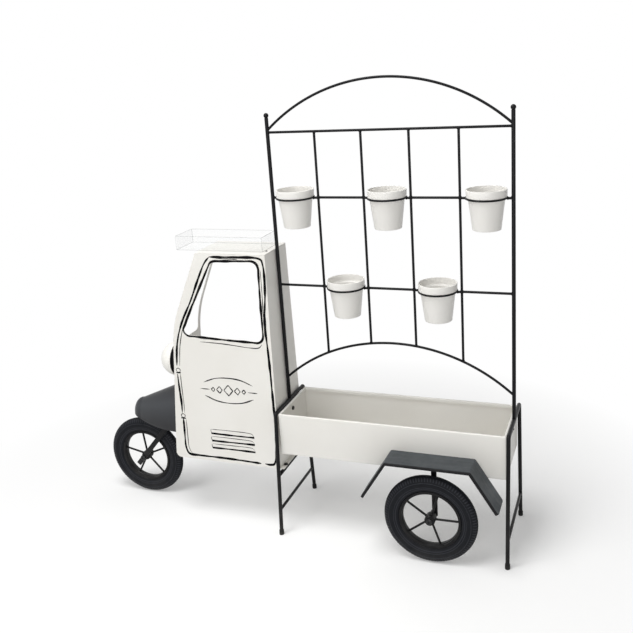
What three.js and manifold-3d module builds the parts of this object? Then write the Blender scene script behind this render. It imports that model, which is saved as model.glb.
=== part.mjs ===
// Flower cart stand: a planter box on two leg frames with a rod trellis above it, five pots in wire rings,
// a small sheet-metal driver's cab at the left end, one wheel under the cab's nose and one beside the planter.
// Millimetres, +Z up. X runs along the cart (cab at -X), the show side faces -Y, the floor is Z = 0.
import * as THREE from 'three';
import { mergeVertices } from 'three/addons/utils/BufferGeometryUtils.js';
import Module from 'manifold-3d';

const wasm = await Module();
wasm.setup();

// ---------------------------------------------------------------- driving dimensions
const GAP = 0.3;                    // what touching pieces keep between them
const SHEET = 1.6;                  // sheet metal of the planter and the cab
const EDGE = 2;                     // bevel on moulded and turned edges

const PLANTER_LENGTH = 750;
const PLANTER_DEPTH = 236;
const PLANTER_HEIGHT = 145;
const PLANTER_RIM_Z = 430;          // rim above the floor
const HEM_WIDTH = 8;                // the rim is folded inwards
const HEM_DROP = 12;

const LEG_TUBE = 13;                // round tube of the two leg frames
const LEG_TOP_SPREAD = 242;         // between the leg axes at the top bar
const LEG_FOOT_SPREAD = 310;        // between the leg axes at the floor
const TOP_BAR_RISE = 2;             // top bar's axis above the planter's rim
const LOW_BAR_Z = 90;
const LOW_BAR_DIAMETER = 10;
const FOOT_WALL = 1.7;              // rubber cap round the end of a leg
const FOOT_HEIGHT = 16;
const FOOT_SOLE = 5;                // rubber under the end of the tube

const POST_DIAMETER = 12;
const FINIAL_DIAMETER = 16;
const POST_ABOVE_ARCH = 41;         // posts run on above the top arch's ends
const ROD_DIAMETER = 8;             // rails, uprights and arches of the trellis
const BAYS = 5;                     // equal bays over the planter's length
const LOW_ARCH_HEIGHT = 85;         // trellis heights are above the planter's rim
const MIDDLE_RAIL_HEIGHT = 415;
const UPPER_RAIL_HEIGHT = 706;
const TOP_RAIL_HEIGHT = 912;
const TOP_ARCH_ABOVE_RAIL = 6;      // where the top arch meets the posts
const ARCH_RISE = 147;

const POT_MOUTH = 110;              // body of a pot where its ring holds it
const POT_BASE = 85;
const POT_RIM_PROUD = 6;            // the rim band stands out this far from the body
const POT_RIM_HEIGHT = 23;
const POT_RIM_FLARE = 1;
const POT_DEPTH = 95;               // from the ring down to the underside
const POT_WALL = 2.2;
const RING_WIRE = 6;
const RING_CLEARANCE = 1.5;         // between a pot's body and its ring

const TYRE_RADIUS = 150;
const TYRE_WIDTH = 36;
const TYRE_BEAD_RADIUS = 100;
const RIM_INNER_RADIUS = 89;
const RIM_WIDTH = 26;
const SPOKE_COUNT = 5;
const SPOKE_DIAMETER = 5;
const HUB_DIAMETER = 28;
const HUB_LENGTH = 38;
const AXLE_DIAMETER = 10;
const AXLE_HEAD_DIAMETER = 20;
const AXLE_HEAD_THICKNESS = 5;
const NUT_WIDTH = 17;
const NUT_THICKNESS = 7;
const AXLE_END = 2;                 // thread left beyond the nut

const REAR_WHEEL_OUT = 52;          // wheel's middle plane outside the planter's front face
const REAR_SPOKE_TURN = 1;          // degrees
const FRONT_WHEEL_AHEAD = 196;      // front axle in front of the cab's toe
const FRONT_SPOKE_TURN = 24;
const WHEEL_CLEARANCE = 5;          // between a wheel's side and the bar that carries it
const BOSS_WALL = 4;                // tube round the axle, welded to that bar

const STRUT_WIDTH = 14;
const STRUT_THICKNESS = 8;
const STRUT_OFFSET = 8;             // strut's middle line behind the rear axle
const STRUT_TAIL = 5;               // length below the axle

const GUARD_TYRE_CLEARANCE = 46;    // top of the rear mudguard above the tyre
const GUARD_END_MARGIN = 13.5;      // its rear end inside the planter's right end
const GUARD_TOP_LENGTH = 269;
const GUARD_DEPTH = 88;
const GUARD_SLOPE_RUN = 81;
const GUARD_SLOPE_DROP = 127;
const GUARD_SHEET = 2;
const GUARD_LIP = 9;
const GUARD_CORNER = 16;

const CAB_BOTTOM_Z = 220;
const CAB_HEIGHT = 745;             // heights on the cab are above its bottom edge
const CAB_WIDTH_BOTTOM = 214;
const CAB_WIDTH_TOP = 170;
const CAB_TOE_LENGTH = 406;         // from its rear wall to the foot of its nose
const CAB_WAIST_SETBACK = 35;       // foot of the curve under the windscreen, behind the toe
const CAB_WAIST_HEIGHT = 420;
const CAB_BROW_SETBACK = 33;        // head of that curve, behind its foot
const CAB_BROW_HEIGHT = 552;
const CAB_ROOF_SETBACK = 84;        // front end of the roof, behind the brow
const CAB_TOE_RADIUS = 18;

const SCREEN_SILL_HEIGHT = 420;     // windscreen opening
const SCREEN_HEAD_DROP = 35;        // its upper edge below the roof
const SCREEN_BORDER = 16;
const SCREEN_RADIUS = 20;

const WINDOW_SILL_HEIGHT = 456;     // window opening in the show side
const WINDOW_HEAD_DROP = 22;
const WINDOW_REAR = 29;             // its rear edge from the rear wall
const WINDOW_FRONT = 43;            // its slanted front edge behind the windscreen line
const WINDOW_RADIUS = 24;

const LAMP_ABOVE_FENDER = 11;       // lowest point of the dome above the fender's ridge
const LAMP_DOME_RADIUS = 62;
const LAMP_DRUM_RADIUS = 56;
const LAMP_DRUM_LENGTH = 36;
const LAMP_FLANGE = 4;              // thickness of the drum's flange behind the dome
const LAMP_WALL = 2;

const FENDER_TYRE_CLEARANCE = 8;    // fender's lower edge above the tyre
const FENDER_REAR_HEIGHT = 172;     // ridge above the lower edge, under the waist of the cab
const FENDER_NOSE_HEIGHT = 78;
const FENDER_NOSE_REACH = 23;       // tip of the nose in front of the front axle
const FENDER_FLATNESS = 0.48;       // half width over height
const FENDER_SHEET = 2;

const FORK_WIDTH = 15;
const FORK_THICKNESS = 8;
const FORK_ANGLE = 49;              // degrees above the horizontal
const FORK_TAIL = 50;               // length beyond the axle

const TRAY_LENGTH = 317;
const TRAY_DEPTH = 112;
const TRAY_HEIGHT = 48;
const TRAY_WALL = 3;
const TRAY_REAR = 20;               // tray's rear end from the cab's rear wall

const BOLT_HEAD = 12;
const BOLT_HEAD_THICKNESS = 4;
const BOLT_SHANK = 6;
const LUG_WIDTH = 16;               // plate under a top bar that takes the planter's bolt
const LUG_THICKNESS = 3;
const PLANTER_BOLT_DROP = 30;       // planter's bolts below the rim
const CAB_BOLT_SPREAD = 150;        // between the two bolts, and the two screws, of the cab

const WHEEL_SIDES = 32;             // facets of the round pieces
const POT_SIDES = 24;
const TUBE_SIDES = 12;
const ROD_SIDES = 8;
const WIRE_SIDES = 6;
const HEX_SIDES = 6;
const ARCH_STEPS = 24;              // straight stretches along an arch
const CURVE_STEPS = 7;              // along the nose, a rounded corner, the fender's tip
const DOME_STEPS = 6;
const OVERCUT = 1;                  // how far a cutting tool runs past the face that it opens

// ---------------------------------------------------------------- places worked out from them
const planterBottomZ = PLANTER_RIM_Z - PLANTER_HEIGHT;
const planterFrontY = -PLANTER_DEPTH / 2;
const planterBoltZ = PLANTER_RIM_Z - PLANTER_BOLT_DROP;
const legOffset = GAP + LEG_TUBE / 2;                 // leg axes outside the planter's ends
const frameX = { left: -legOffset, right: PLANTER_LENGTH + legOffset };
const topBarZ = PLANTER_RIM_Z + TOP_BAR_RISE;
const cabBarZ = CAB_BOTTOM_Z - GAP - LEG_TUBE / 2;    // the cab stands on this bar
const cabRearX = frameX.left - LEG_TUBE / 2 - GAP;    // outer face of the cab's rear wall
const cabTopZ = CAB_BOTTOM_Z + CAB_HEIGHT;

const middleX = PLANTER_LENGTH / 2;
const lowArchZ = PLANTER_RIM_Z + LOW_ARCH_HEIGHT;
const middleRailZ = PLANTER_RIM_Z + MIDDLE_RAIL_HEIGHT;
const upperRailZ = PLANTER_RIM_Z + UPPER_RAIL_HEIGHT;
const topRailZ = PLANTER_RIM_Z + TOP_RAIL_HEIGHT;
const topArchZ = topRailZ + TOP_ARCH_ABOVE_RAIL;
const postTopZ = topArchZ + POST_ABOVE_ARCH;
const archHalfSpan = middleX - frameX.left;
const archRadius = (archHalfSpan ** 2 + ARCH_RISE ** 2) / (2 * ARCH_RISE);

const wheelHalf = Math.max(TYRE_WIDTH, HUB_LENGTH) / 2;
const guardZ = 2 * TYRE_RADIUS + GUARD_TYRE_CLEARANCE;
const rearCentre = new THREE.Vector3(
  PLANTER_LENGTH - GUARD_END_MARGIN - GUARD_SLOPE_RUN - GUARD_TOP_LENGTH / 2,
  planterFrontY - REAR_WHEEL_OUT,
  TYRE_RADIUS,
);
const toeX = cabRearX - CAB_TOE_LENGTH;
const frontCentre = new THREE.Vector3(toeX - FRONT_WHEEL_AHEAD, 0, TYRE_RADIUS);
const fenderBaseZ = 2 * TYRE_RADIUS + FENDER_TYRE_CLEARANCE;
const lampZ = fenderBaseZ + FENDER_REAR_HEIGHT + LAMP_ABOVE_FENDER + LAMP_DOME_RADIUS;

// ---------------------------------------------------------------- finishes
function finish(color, roughness, metalness, extra = {}) {
  return new THREE.MeshStandardMaterial({ color, roughness, metalness, ...extra });
}
const blackPaint = finish(0x16171a, 0.5, 0.3);
const greyBlackPaint = finish(0x3b3d42, 0.45, 0.3);
const creamPaint = finish(0xe3e0d8, 0.5, 0.1);
const potPlastic = finish(0xe9e6df, 0.45, 0);
const tyreRubber = finish(0x33353a, 0.7, 0);
const footRubber = finish(0x1b1b1d, 0.8, 0);
const lampGlass = finish(0xeeeae0, 0.35, 0);
const clearPlastic = finish(0xf4f7f7, 0.1, 0, { transparent: true, opacity: 0.25 });
const boltSteel = finish(0x2c2d30, 0.4, 0.7);

// ---------------------------------------------------------------- cutting and joining
const V = (x, y, z) => new THREE.Vector3(x, y, z);

// A closed three.js geometry as a solid: shared vertices are merged and slivers of no area are left out.
function solid(geometry) {
  const bare = geometry.clone();
  bare.deleteAttribute('normal');
  bare.deleteAttribute('uv');
  const merged = mergeVertices(bare, 1e-4);
  const triVerts = [];
  for (let i = 0; i < merged.index.count; i += 3) {
    const [a, b, c] = [0, 1, 2].map((k) => merged.index.getX(i + k));
    if (a !== b && b !== c && c !== a) {
      triVerts.push(a, b, c);
    }
  }
  const vertProperties = new Float32Array(merged.attributes.position.array);
  const mesh = new wasm.Mesh({ numProp: 3, vertProperties, triVerts: new Uint32Array(triVerts) });
  return new wasm.Manifold(mesh);
}

function geometryOf(manifold) {
  const mesh = manifold.getMesh();
  const geometry = new THREE.BufferGeometry();
  geometry.setAttribute('position', new THREE.BufferAttribute(mesh.vertProperties, 3));
  geometry.setIndex(new THREE.BufferAttribute(mesh.triVerts, 1));
  return geometry;
}

const cut = (body, ...tools) => tools.reduce((rest, tool) => rest.subtract(tool), body);
const join = (first, ...others) => others.reduce((sum, other) => sum.add(other), first);

// ---------------------------------------------------------------- basic solids
function box(low, high) {
  const size = high.clone().sub(low);
  const geometry = new THREE.BoxGeometry(size.x, size.y, size.z);
  const centre = low.clone().add(high).multiplyScalar(0.5);
  return solid(geometry.translate(centre.x, centre.y, centre.z));
}

// A round rod from one point to another.
function rod(from, to, diameter, sides = TUBE_SIDES) {
  const along = to.clone().sub(from);
  const geometry = new THREE.CylinderGeometry(diameter / 2, diameter / 2, along.length(), sides);
  geometry.applyQuaternion(new THREE.Quaternion().setFromUnitVectors(V(0, 1, 0), along.clone().normalize()));
  const centre = from.clone().add(to).multiplyScalar(0.5);
  return solid(geometry.translate(centre.x, centre.y, centre.z));
}

function ball(centre, diameter, sides = TUBE_SIDES) {
  const geometry = new THREE.SphereGeometry(diameter / 2, sides, sides / 2);
  return solid(geometry.translate(centre.x, centre.y, centre.z));
}

// A profile of [radius, height] points that starts and ends on the axis, or closes on itself, turned about Z.
function turned(profile, sides) {
  const points = profile.map(([radius, height]) => new THREE.Vector2(radius, height));
  return new THREE.LatheGeometry(points, sides).rotateX(Math.PI / 2);
}

// The same, turned about an axis along Y through a point, heights counted towards -Y.
function turnedAboutY(profile, sides, centre) {
  const geometry = turned(profile, sides).rotateX(Math.PI / 2);
  return solid(geometry.translate(centre.x, centre.y, centre.z));
}

// An outline in the XY plane, thick along Z.
function sheetOf(shape, depth) {
  return new THREE.ExtrudeGeometry(shape, { depth, bevelEnabled: false, curveSegments: CURVE_STEPS });
}

// An outline in the XZ plane, thick from y = from to y = to.
function slabXZ(shape, from, to) {
  const geometry = sheetOf(shape, to - from);
  return solid(geometry.rotateX(Math.PI / 2).translate(0, to, 0));
}

// An outline in the YZ plane, thick from x = from to x = to.
function slabYZ(shape, from, to) {
  const geometry = sheetOf(shape, to - from);
  return solid(geometry.rotateX(Math.PI / 2).rotateZ(Math.PI / 2).translate(from, 0, 0));
}

function outline(points) {
  return new THREE.Shape(points.map(([a, b]) => new THREE.Vector2(a, b)));
}

// A closed outline whose corners are rounded: each point is [a, b, radius].
function roundedOutline(points) {
  const shape = new THREE.Shape();
  points.forEach(([a, b, radius], i) => {
    const corner = new THREE.Vector2(a, b);
    const before = new THREE.Vector2(...points.at(i - 1)).sub(corner).setLength(radius);
    const after = new THREE.Vector2(...points[(i + 1) % points.length]).sub(corner).setLength(radius);
    const start = corner.clone().add(before);
    const end = corner.clone().add(after);
    if (i === 0) {
      shape.moveTo(start.x, start.y);
    } else {
      shape.lineTo(start.x, start.y);
    }
    if (radius > 0) {
      shape.quadraticCurveTo(corner.x, corner.y, end.x, end.y);
    }
  });
  shape.closePath();
  return shape;
}

// ---------------------------------------------------------------- the cart
const cart = new THREE.Group();

function piece(name, body, material, parent = cart) {
  const geometry = body.isBufferGeometry ? body : geometryOf(body);
  const mesh = new THREE.Mesh(geometry, material);
  mesh.name = name;
  parent.add(mesh);
  return mesh;
}

// ---- planter box: a sheet-metal trough with its rim folded inwards
function planter() {
  const trough = box(V(0, planterFrontY, planterBottomZ), V(PLANTER_LENGTH, -planterFrontY, PLANTER_RIM_Z));
  const inside = box(
    V(SHEET, planterFrontY + SHEET, planterBottomZ + SHEET),
    V(PLANTER_LENGTH - SHEET, -planterFrontY - SHEET, PLANTER_RIM_Z - HEM_DROP),
  );
  const mouth = box(
    V(HEM_WIDTH, planterFrontY + HEM_WIDTH, PLANTER_RIM_Z - 2 * HEM_DROP),
    V(PLANTER_LENGTH - HEM_WIDTH, -planterFrontY - HEM_WIDTH, PLANTER_RIM_Z + OVERCUT),
  );
  const holes = Object.keys(frameX).map((side) => planterBoltHole(side));
  piece('planter_box', cut(trough, inside, mouth, ...holes), creamPaint);
}

function planterBoltHole(side) {
  const wall = side === 'left' ? 0 : PLANTER_LENGTH;
  const reach = LEG_TUBE;
  const ends = [V(wall - reach, 0, planterBoltZ), V(wall + reach, 0, planterBoltZ)];
  return rod(...ends, BOLT_SHANK + 2 * GAP, ROD_SIDES);
}

// ---- leg frames: each one bent tube, with its cross bars, feet and the lug for the planter's bolt
function legAxis(side, front) {
  const x = frameX[side];
  return {
    top: V(x, front * LEG_TOP_SPREAD / 2, topBarZ),
    floor: V(x, front * LEG_FOOT_SPREAD / 2, 0),
  };
}

function pointAtHeight(axis, z) {
  return axis.floor.clone().lerp(axis.top, z / axis.top.z);
}

function legTube(side, front, extra = 0) {
  const axis = legAxis(side, front);
  return rod(pointAtHeight(axis, FOOT_SOLE + GAP - extra), axis.top, LEG_TUBE + 2 * extra);
}

function legFrame(side) {
  const corners = [-1, 1].map((front) => legAxis(side, front).top);
  const bar = rod(corners[0], corners[1], LEG_TUBE);
  const elbows = corners.map((corner) => ball(corner, LEG_TUBE));
  const inward = side === 'left' ? 1 : -1;
  const lugFace = frameX[side] + inward * LEG_TUBE / 2;
  const lugBack = lugFace - inward * LUG_THICKNESS;
  const lug = box(
    V(Math.min(lugFace, lugBack), -LUG_WIDTH / 2, planterBoltZ - LUG_WIDTH / 2),
    V(Math.max(lugFace, lugBack), LUG_WIDTH / 2, topBarZ),
  );
  const frame = join(bar, legTube(side, -1), legTube(side, 1), ...elbows, lug);
  const drillings = side === 'left' ? cabBoltHoles() : [];
  piece(`leg_frame_${side}`, cut(frame, planterBoltHole(side), ...drillings), blackPaint);
}

function crossBar(name, side, z, diameter, drillings = []) {
  const ends = [-1, 1].map((front) => pointAtHeight(legAxis(side, front), z));
  const legs = [-1, 1].map((front) => legTube(side, front, GAP));
  piece(name, cut(rod(ends[0], ends[1], diameter), ...legs, ...drillings), blackPaint);
}

// A rubber cap on the end of a leg, cut flat where it stands.
function foot(name, side, front) {
  const axis = legAxis(side, front);
  const { x, y } = axis.floor;
  const diameter = LEG_TUBE + 2 * GAP + 2 * FOOT_WALL;
  const ends = [pointAtHeight(axis, -FOOT_HEIGHT), pointAtHeight(axis, FOOT_HEIGHT)];
  const cap = rod(...ends, diameter, 2 * ROD_SIDES);
  const floor = box(V(x - diameter, y - diameter, -3 * FOOT_HEIGHT), V(x + diameter, y + diameter, 0));
  piece(name, cut(cap, legTube(side, front, GAP), floor), footRubber);
}

function planterBolt(side) {
  const inward = side === 'left' ? 1 : -1;
  const wall = side === 'left' ? 0 : PLANTER_LENGTH;
  const headBack = wall + inward * (SHEET + GAP);
  const headFace = headBack + inward * BOLT_HEAD_THICKNESS;
  const tip = frameX[side];
  const inHead = (headBack + headFace) / 2;
  const shank = rod(V(tip, 0, planterBoltZ), V(inHead, 0, planterBoltZ), BOLT_SHANK, ROD_SIDES);
  const head = rod(V(headBack, 0, planterBoltZ), V(headFace, 0, planterBoltZ), BOLT_HEAD, HEX_SIDES);
  piece(`planter_bolt_${side}`, join(shank, head), boltSteel);
}

// ---- trellis: posts with ball ends, two arches, rails, uprights, and a wire ring in five of the bays
const uprightX = Array.from({ length: BAYS - 1 }, (_, k) => ((k + 1) * PLANTER_LENGTH) / BAYS);
const lineX = [frameX.left, ...uprightX, frameX.right];      // both posts and the uprights between them
const postFootZ = topBarZ + LEG_TUBE / 2;

function post(side) {
  const x = frameX[side];
  const shaft = rod(V(x, 0, topBarZ), V(x, 0, postTopZ), POST_DIAMETER);
  const topEnds = [-1, 1].map((way) => V(x, way * LEG_TOP_SPREAD / 2, topBarZ));
  const topBar = rod(...topEnds, LEG_TUBE + 2 * GAP);
  const below = box(V(x - LEG_TUBE, -LEG_TUBE, topBarZ - LEG_TUBE), V(x + LEG_TUBE, LEG_TUBE, topBarZ));
  const finial = ball(V(x, 0, postTopZ + FINIAL_DIAMETER / 3), FINIAL_DIAMETER);
  piece(`trellis_post_${side}`, join(cut(shaft, topBar, below), finial), blackPaint);
}

// A post or an upright with the gap that a rod ending on it keeps.
function lineTube(i) {
  const isPost = i === 0 || i === lineX.length - 1;
  const diameter = (isPost ? POST_DIAMETER : ROD_DIAMETER) + 2 * GAP;
  return rod(V(lineX[i], 0, postFootZ), V(lineX[i], 0, postTopZ), diameter);
}

// A circle arc between the posts, in the plane of the trellis.
class ArchCurve extends THREE.Curve {
  constructor(springZ) {
    super();
    this.springZ = springZ;
    this.halfAngle = Math.asin(archHalfSpan / archRadius);
  }

  getPoint(t, target = V(0, 0, 0)) {
    const angle = (2 * t - 1) * this.halfAngle;
    const centreZ = this.springZ + ARCH_RISE - archRadius;
    return target.set(middleX + archRadius * Math.sin(angle), 0, centreZ + archRadius * Math.cos(angle));
  }
}

function archTube(springZ, extra = 0) {
  const section = new THREE.Shape();
  for (let k = 0; k < ROD_SIDES; k += 1) {
    const angle = (k / ROD_SIDES) * 2 * Math.PI;
    const [a, b] = [Math.cos(angle), Math.sin(angle)].map((v) => v * (ROD_DIAMETER / 2 + extra));
    if (k === 0) {
      section.moveTo(a, b);
    } else {
      section.lineTo(a, b);
    }
  }
  const extrudePath = new ArchCurve(springZ);
  return solid(new THREE.ExtrudeGeometry(section, { steps: ARCH_STEPS, extrudePath, bevelEnabled: false }));
}

function arch(name, springZ) {
  const ends = [0, lineX.length - 1].map((i) => lineTube(i));
  piece(name, cut(archTube(springZ), ...ends), blackPaint);
}

function rail(name, z, first, last) {
  const bar = rod(V(lineX[first], 0, z), V(lineX[last], 0, z), ROD_DIAMETER, ROD_SIDES);
  piece(name, cut(bar, lineTube(first), lineTube(last)), blackPaint);
}

function upright(k) {
  const x = lineX[k];
  const bar = rod(V(x, 0, lowArchZ), V(x, 0, topRailZ), ROD_DIAMETER, ROD_SIDES);
  const ends = lineX.filter((_, i) => i === 0 || i === BAYS).map((lineEnd) => V(lineEnd, 0, topRailZ));
  const topRail = rod(ends[0], ends[1], ROD_DIAMETER + 2 * GAP, ROD_SIDES);
  const parts = cut(bar, topRail, archTube(lowArchZ, GAP)).decompose();
  const longest = parts.reduce((best, part) => (part.volume() > best.volume() ? part : best));
  piece(`trellis_upright_${k}`, longest, blackPaint);
}

const ringRadius = POT_MOUTH / 2 + RING_CLEARANCE + RING_WIRE / 2;   // to the middle of the wire

function ringBay(name, z, bay) {
  const x = (lineX[bay] + lineX[bay + 1]) / 2;
  const torus = new THREE.TorusGeometry(ringRadius, RING_WIRE / 2, WIRE_SIDES, POT_SIDES);
  const ring = solid(torus.translate(x, 0, z));
  const stubZ = z - (ROD_DIAMETER - RING_WIRE) / 2;          // its top is level with the ring's
  const stubs = [-1, 1].map((way) => {
    const from = V(x + way * ringRadius, 0, stubZ);
    return rod(from, V(way < 0 ? lineX[bay] : lineX[bay + 1], 0, stubZ), ROD_DIAMETER, ROD_SIDES);
  });
  piece(name, cut(join(ring, ...stubs), lineTube(bay), lineTube(bay + 1)), blackPaint);
  return V(x, 0, z);
}

// ---- pots: tapered cups with a rim band that rests on the ring
function pot(name, ringCentre) {
  const mouth = POT_MOUTH / 2;
  const base = POT_BASE / 2;
  const rimLow = RING_WIRE / 2 + GAP;
  const rimTop = rimLow + POT_RIM_HEIGHT;
  const taper = (mouth - base) / POT_DEPTH;
  const bodyAt = (z) => base + taper * (z + POT_DEPTH);
  const rimOuter = mouth + POT_RIM_PROUD;
  const floor = POT_WALL - POT_DEPTH;
  const profile = [
    [0, -POT_DEPTH],
    [base - EDGE, -POT_DEPTH],
    [base, EDGE - POT_DEPTH],
    [bodyAt(rimLow), rimLow],
    [rimOuter - POT_RIM_FLARE, rimLow],
    [rimOuter, rimTop - EDGE],
    [rimOuter - EDGE / 2, rimTop],
    [rimOuter - POT_WALL, rimTop],
    [rimOuter - POT_RIM_FLARE - POT_WALL, rimTop - EDGE],
    [bodyAt(rimLow) - POT_WALL, rimLow - EDGE],
    [base - POT_WALL, floor],
    [0, floor],
  ];
  const cup = turned(profile, POT_SIDES).translate(ringCentre.x, ringCentre.y, ringCentre.z);
  piece(name, solid(cup), potPlastic);
}

// ---- wheels: tyre, rim with spokes and hub, axle and nut
// The tyre's section: shares of its height above the bead, and of its width, up one side.
const tyreFlank = [[0, 0.36], [0.16, 0.42], [0.48, 0.5], [0.76, 0.46], [0.94, 0.3], [1, 0.1]];

function tyreProfile() {
  const height = TYRE_RADIUS - TYRE_BEAD_RADIUS;
  const flank = tyreFlank.map(([up, out]) => [TYRE_BEAD_RADIUS + up * height, out * TYRE_WIDTH]);
  return [...flank.map(([radius, out]) => [radius, -out]), ...flank.reverse()];
}

function closed(profile) {
  return [...profile, profile[0]];
}

function wheel(name, centre, spokeTurn) {
  piece(`${name}_tyre`, turnedAboutY(closed(tyreProfile()), WHEEL_SIDES, centre), tyreRubber);
  const rimOuter = TYRE_BEAD_RADIUS - GAP;
  const rimProfile = [
    [RIM_INNER_RADIUS, EDGE - RIM_WIDTH / 2],
    [RIM_INNER_RADIUS + EDGE, -RIM_WIDTH / 2],
    [rimOuter, -RIM_WIDTH / 2],
    [rimOuter, RIM_WIDTH / 2],
    [RIM_INNER_RADIUS + EDGE, RIM_WIDTH / 2],
    [RIM_INNER_RADIUS, RIM_WIDTH / 2 - EDGE],
  ];
  const rim = turnedAboutY(closed(rimProfile), WHEEL_SIDES, centre);
  const half = V(0, HUB_LENGTH / 2, 0);
  const hub = rod(centre.clone().sub(half), centre.clone().add(half), HUB_DIAMETER, 2 * ROD_SIDES);
  const spokes = Array.from({ length: SPOKE_COUNT }, (_, k) => {
    const angle = THREE.MathUtils.degToRad(spokeTurn + (k * 360) / SPOKE_COUNT);
    const way = V(Math.cos(angle), 0, Math.sin(angle));
    const from = centre.clone().addScaledVector(way, HUB_DIAMETER / 4);
    return rod(from, centre.clone().addScaledVector(way, RIM_INNER_RADIUS + EDGE), SPOKE_DIAMETER, ROD_SIDES);
  });
  const bore = axleBore(centre, centre.y - HUB_LENGTH, centre.y + HUB_LENGTH);
  piece(`${name}_rim`, cut(join(rim, hub, ...spokes), bore), blackPaint);
}

// The hole that an axle needs in what it goes through.
function axleBore(centre, fromY, toY) {
  return rod(V(centre.x, fromY, centre.z), V(centre.x, toY, centre.z), AXLE_DIAMETER + 2 * GAP);
}

// A carrying bar with the tube that is welded to it round the axle.
function barWithBoss(name, bar, centre, fromY, toY) {
  const diameter = AXLE_DIAMETER + 2 * GAP + 2 * BOSS_WALL;
  const boss = rod(V(centre.x, fromY, centre.z), V(centre.x, toY, centre.z), diameter, 2 * ROD_SIDES);
  const bore = axleBore(centre, centre.y - 2 * wheelHalf, centre.y + 2 * wheelHalf);
  piece(name, cut(join(bar, boss), bore), blackPaint);
}

// A bolt along Y on which a wheel turns: its head at the show side, its plain end for the nut.
function axle(name, centre, headY, endY) {
  const at = (y) => V(centre.x, y, centre.z);
  const shank = rod(at(headY - AXLE_HEAD_THICKNESS / 2), at(endY), AXLE_DIAMETER);
  const head = rod(at(headY - AXLE_HEAD_THICKNESS), at(headY), AXLE_HEAD_DIAMETER, 2 * ROD_SIDES);
  piece(name, join(shank, head), boltSteel);
}

function nut(name, centre, fromY) {
  const at = (y) => V(centre.x, y, centre.z);
  const acrossCorners = NUT_WIDTH / Math.cos(Math.PI / HEX_SIDES);
  const hexagon = rod(at(fromY), at(fromY + NUT_THICKNESS), acrossCorners, HEX_SIDES);
  piece(name, cut(hexagon, axleBore(centre, fromY - OVERCUT, fromY + NUT_THICKNESS + OVERCUT)), boltSteel);
}

function rearRunningGear() {
  wheel('rear_wheel', rearCentre, REAR_SPOKE_TURN);
  const strutOuterY = rearCentre.y + wheelHalf + WHEEL_CLEARANCE;
  const strutInnerY = strutOuterY + STRUT_THICKNESS;
  const strutX = rearCentre.x + STRUT_OFFSET;
  const strut = box(
    V(strutX - STRUT_WIDTH / 2, strutOuterY, rearCentre.z - STRUT_TAIL),
    V(strutX + STRUT_WIDTH / 2, strutInnerY, guardZ - GUARD_SHEET - GAP),
  );
  const hubShowY = rearCentre.y - HUB_LENGTH / 2;
  const hubBackY = rearCentre.y + HUB_LENGTH / 2;
  barWithBoss('rear_strut', strut, rearCentre, hubBackY + GAP, strutInnerY);
  axle('rear_axle', rearCentre, hubShowY - GAP, strutInnerY + GAP + NUT_THICKNESS + AXLE_END);
  nut('rear_axle_nut', rearCentre, strutInnerY + GAP);
}

// ---- rear mudguard: a flat top and two sloping ends in one bent sheet, with a lip along the show edge
function mudguard() {
  const backY = planterFrontY - GAP;
  const showY = backY - GUARD_DEPTH;
  const slopeLength = Math.hypot(GUARD_SLOPE_RUN, GUARD_SLOPE_DROP);
  const slopeAngle = Math.atan2(GUARD_SLOPE_DROP, GUARD_SLOPE_RUN);
  const half = GUARD_TOP_LENGTH / 2;
  const top = box(V(-half, showY, -GUARD_SHEET), V(half, backY, 0));
  const topLip = box(V(-half, showY, -GUARD_LIP), V(half, showY + GUARD_SHEET, 0));
  const outlineOfSlope = roundedOutline([
    [0, showY, 0],
    [slopeLength, showY, GUARD_CORNER],
    [slopeLength, backY, GUARD_CORNER],
    [0, backY, 0],
  ]);
  const plate = sheetOf(outlineOfSlope, GUARD_SHEET).translate(0, 0, -GUARD_SHEET);
  const lipLength = slopeLength - GUARD_CORNER;
  const lip = new THREE.BoxGeometry(lipLength, GUARD_SHEET, GUARD_LIP);
  lip.translate(lipLength / 2, showY + GUARD_SHEET / 2, -GUARD_LIP / 2);
  const slope = [plate, lip].map((geometry) => solid(geometry.rotateY(slopeAngle).translate(half, 0, 0)));
  const rightSlope = join(...slope);
  const sheet = join(top, topLip, rightSlope, rightSlope.mirror([1, 0, 0]));
  piece('rear_mudguard', sheet.translate([rearCentre.x, 0, guardZ]), greyBlackPaint);
}

// ---- cab
const waistX = toeX + CAB_WAIST_SETBACK;
const browX = waistX + CAB_BROW_SETBACK;
const roofX = browX + CAB_ROOF_SETBACK;
const waistZ = CAB_BOTTOM_Z + CAB_WAIST_HEIGHT;
const browZ = CAB_BOTTOM_Z + CAB_BROW_HEIGHT;
const lowerLean = CAB_WAIST_SETBACK / CAB_WAIST_HEIGHT;
const upperLean = CAB_ROOF_SETBACK / (CAB_HEIGHT - CAB_BROW_HEIGHT);
const curvePull = (browZ - waistZ) / 3;               // handles of the curve between waist and brow
const waistHandle = [waistX + lowerLean * curvePull, waistZ + curvePull];
const browHandle = [browX - upperLean * curvePull, browZ - curvePull];

// The nose as seen from the side, from the toe up to the roof, moved along X by a distance.
function noseUp(shape, shift) {
  shape.lineTo(waistX + shift, waistZ);
  const handles = [waistHandle[0] + shift, waistHandle[1], browHandle[0] + shift, browHandle[1]];
  shape.bezierCurveTo(...handles, browX + shift, browZ);
  shape.lineTo(roofX + shift, cabTopZ);
}

// The same line from the roof down to the toe, with heights as a function gives them.
function noseDown(shape, shift, height = (z) => z) {
  shape.lineTo(roofX + shift, height(cabTopZ));
  shape.lineTo(browX + shift, height(browZ));
  const upper = [browHandle[0] + shift, height(browHandle[1])];
  const handles = [...upper, waistHandle[0] + shift, height(waistHandle[1])];
  shape.bezierCurveTo(...handles, waistX + shift, height(waistZ));
}

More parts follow.
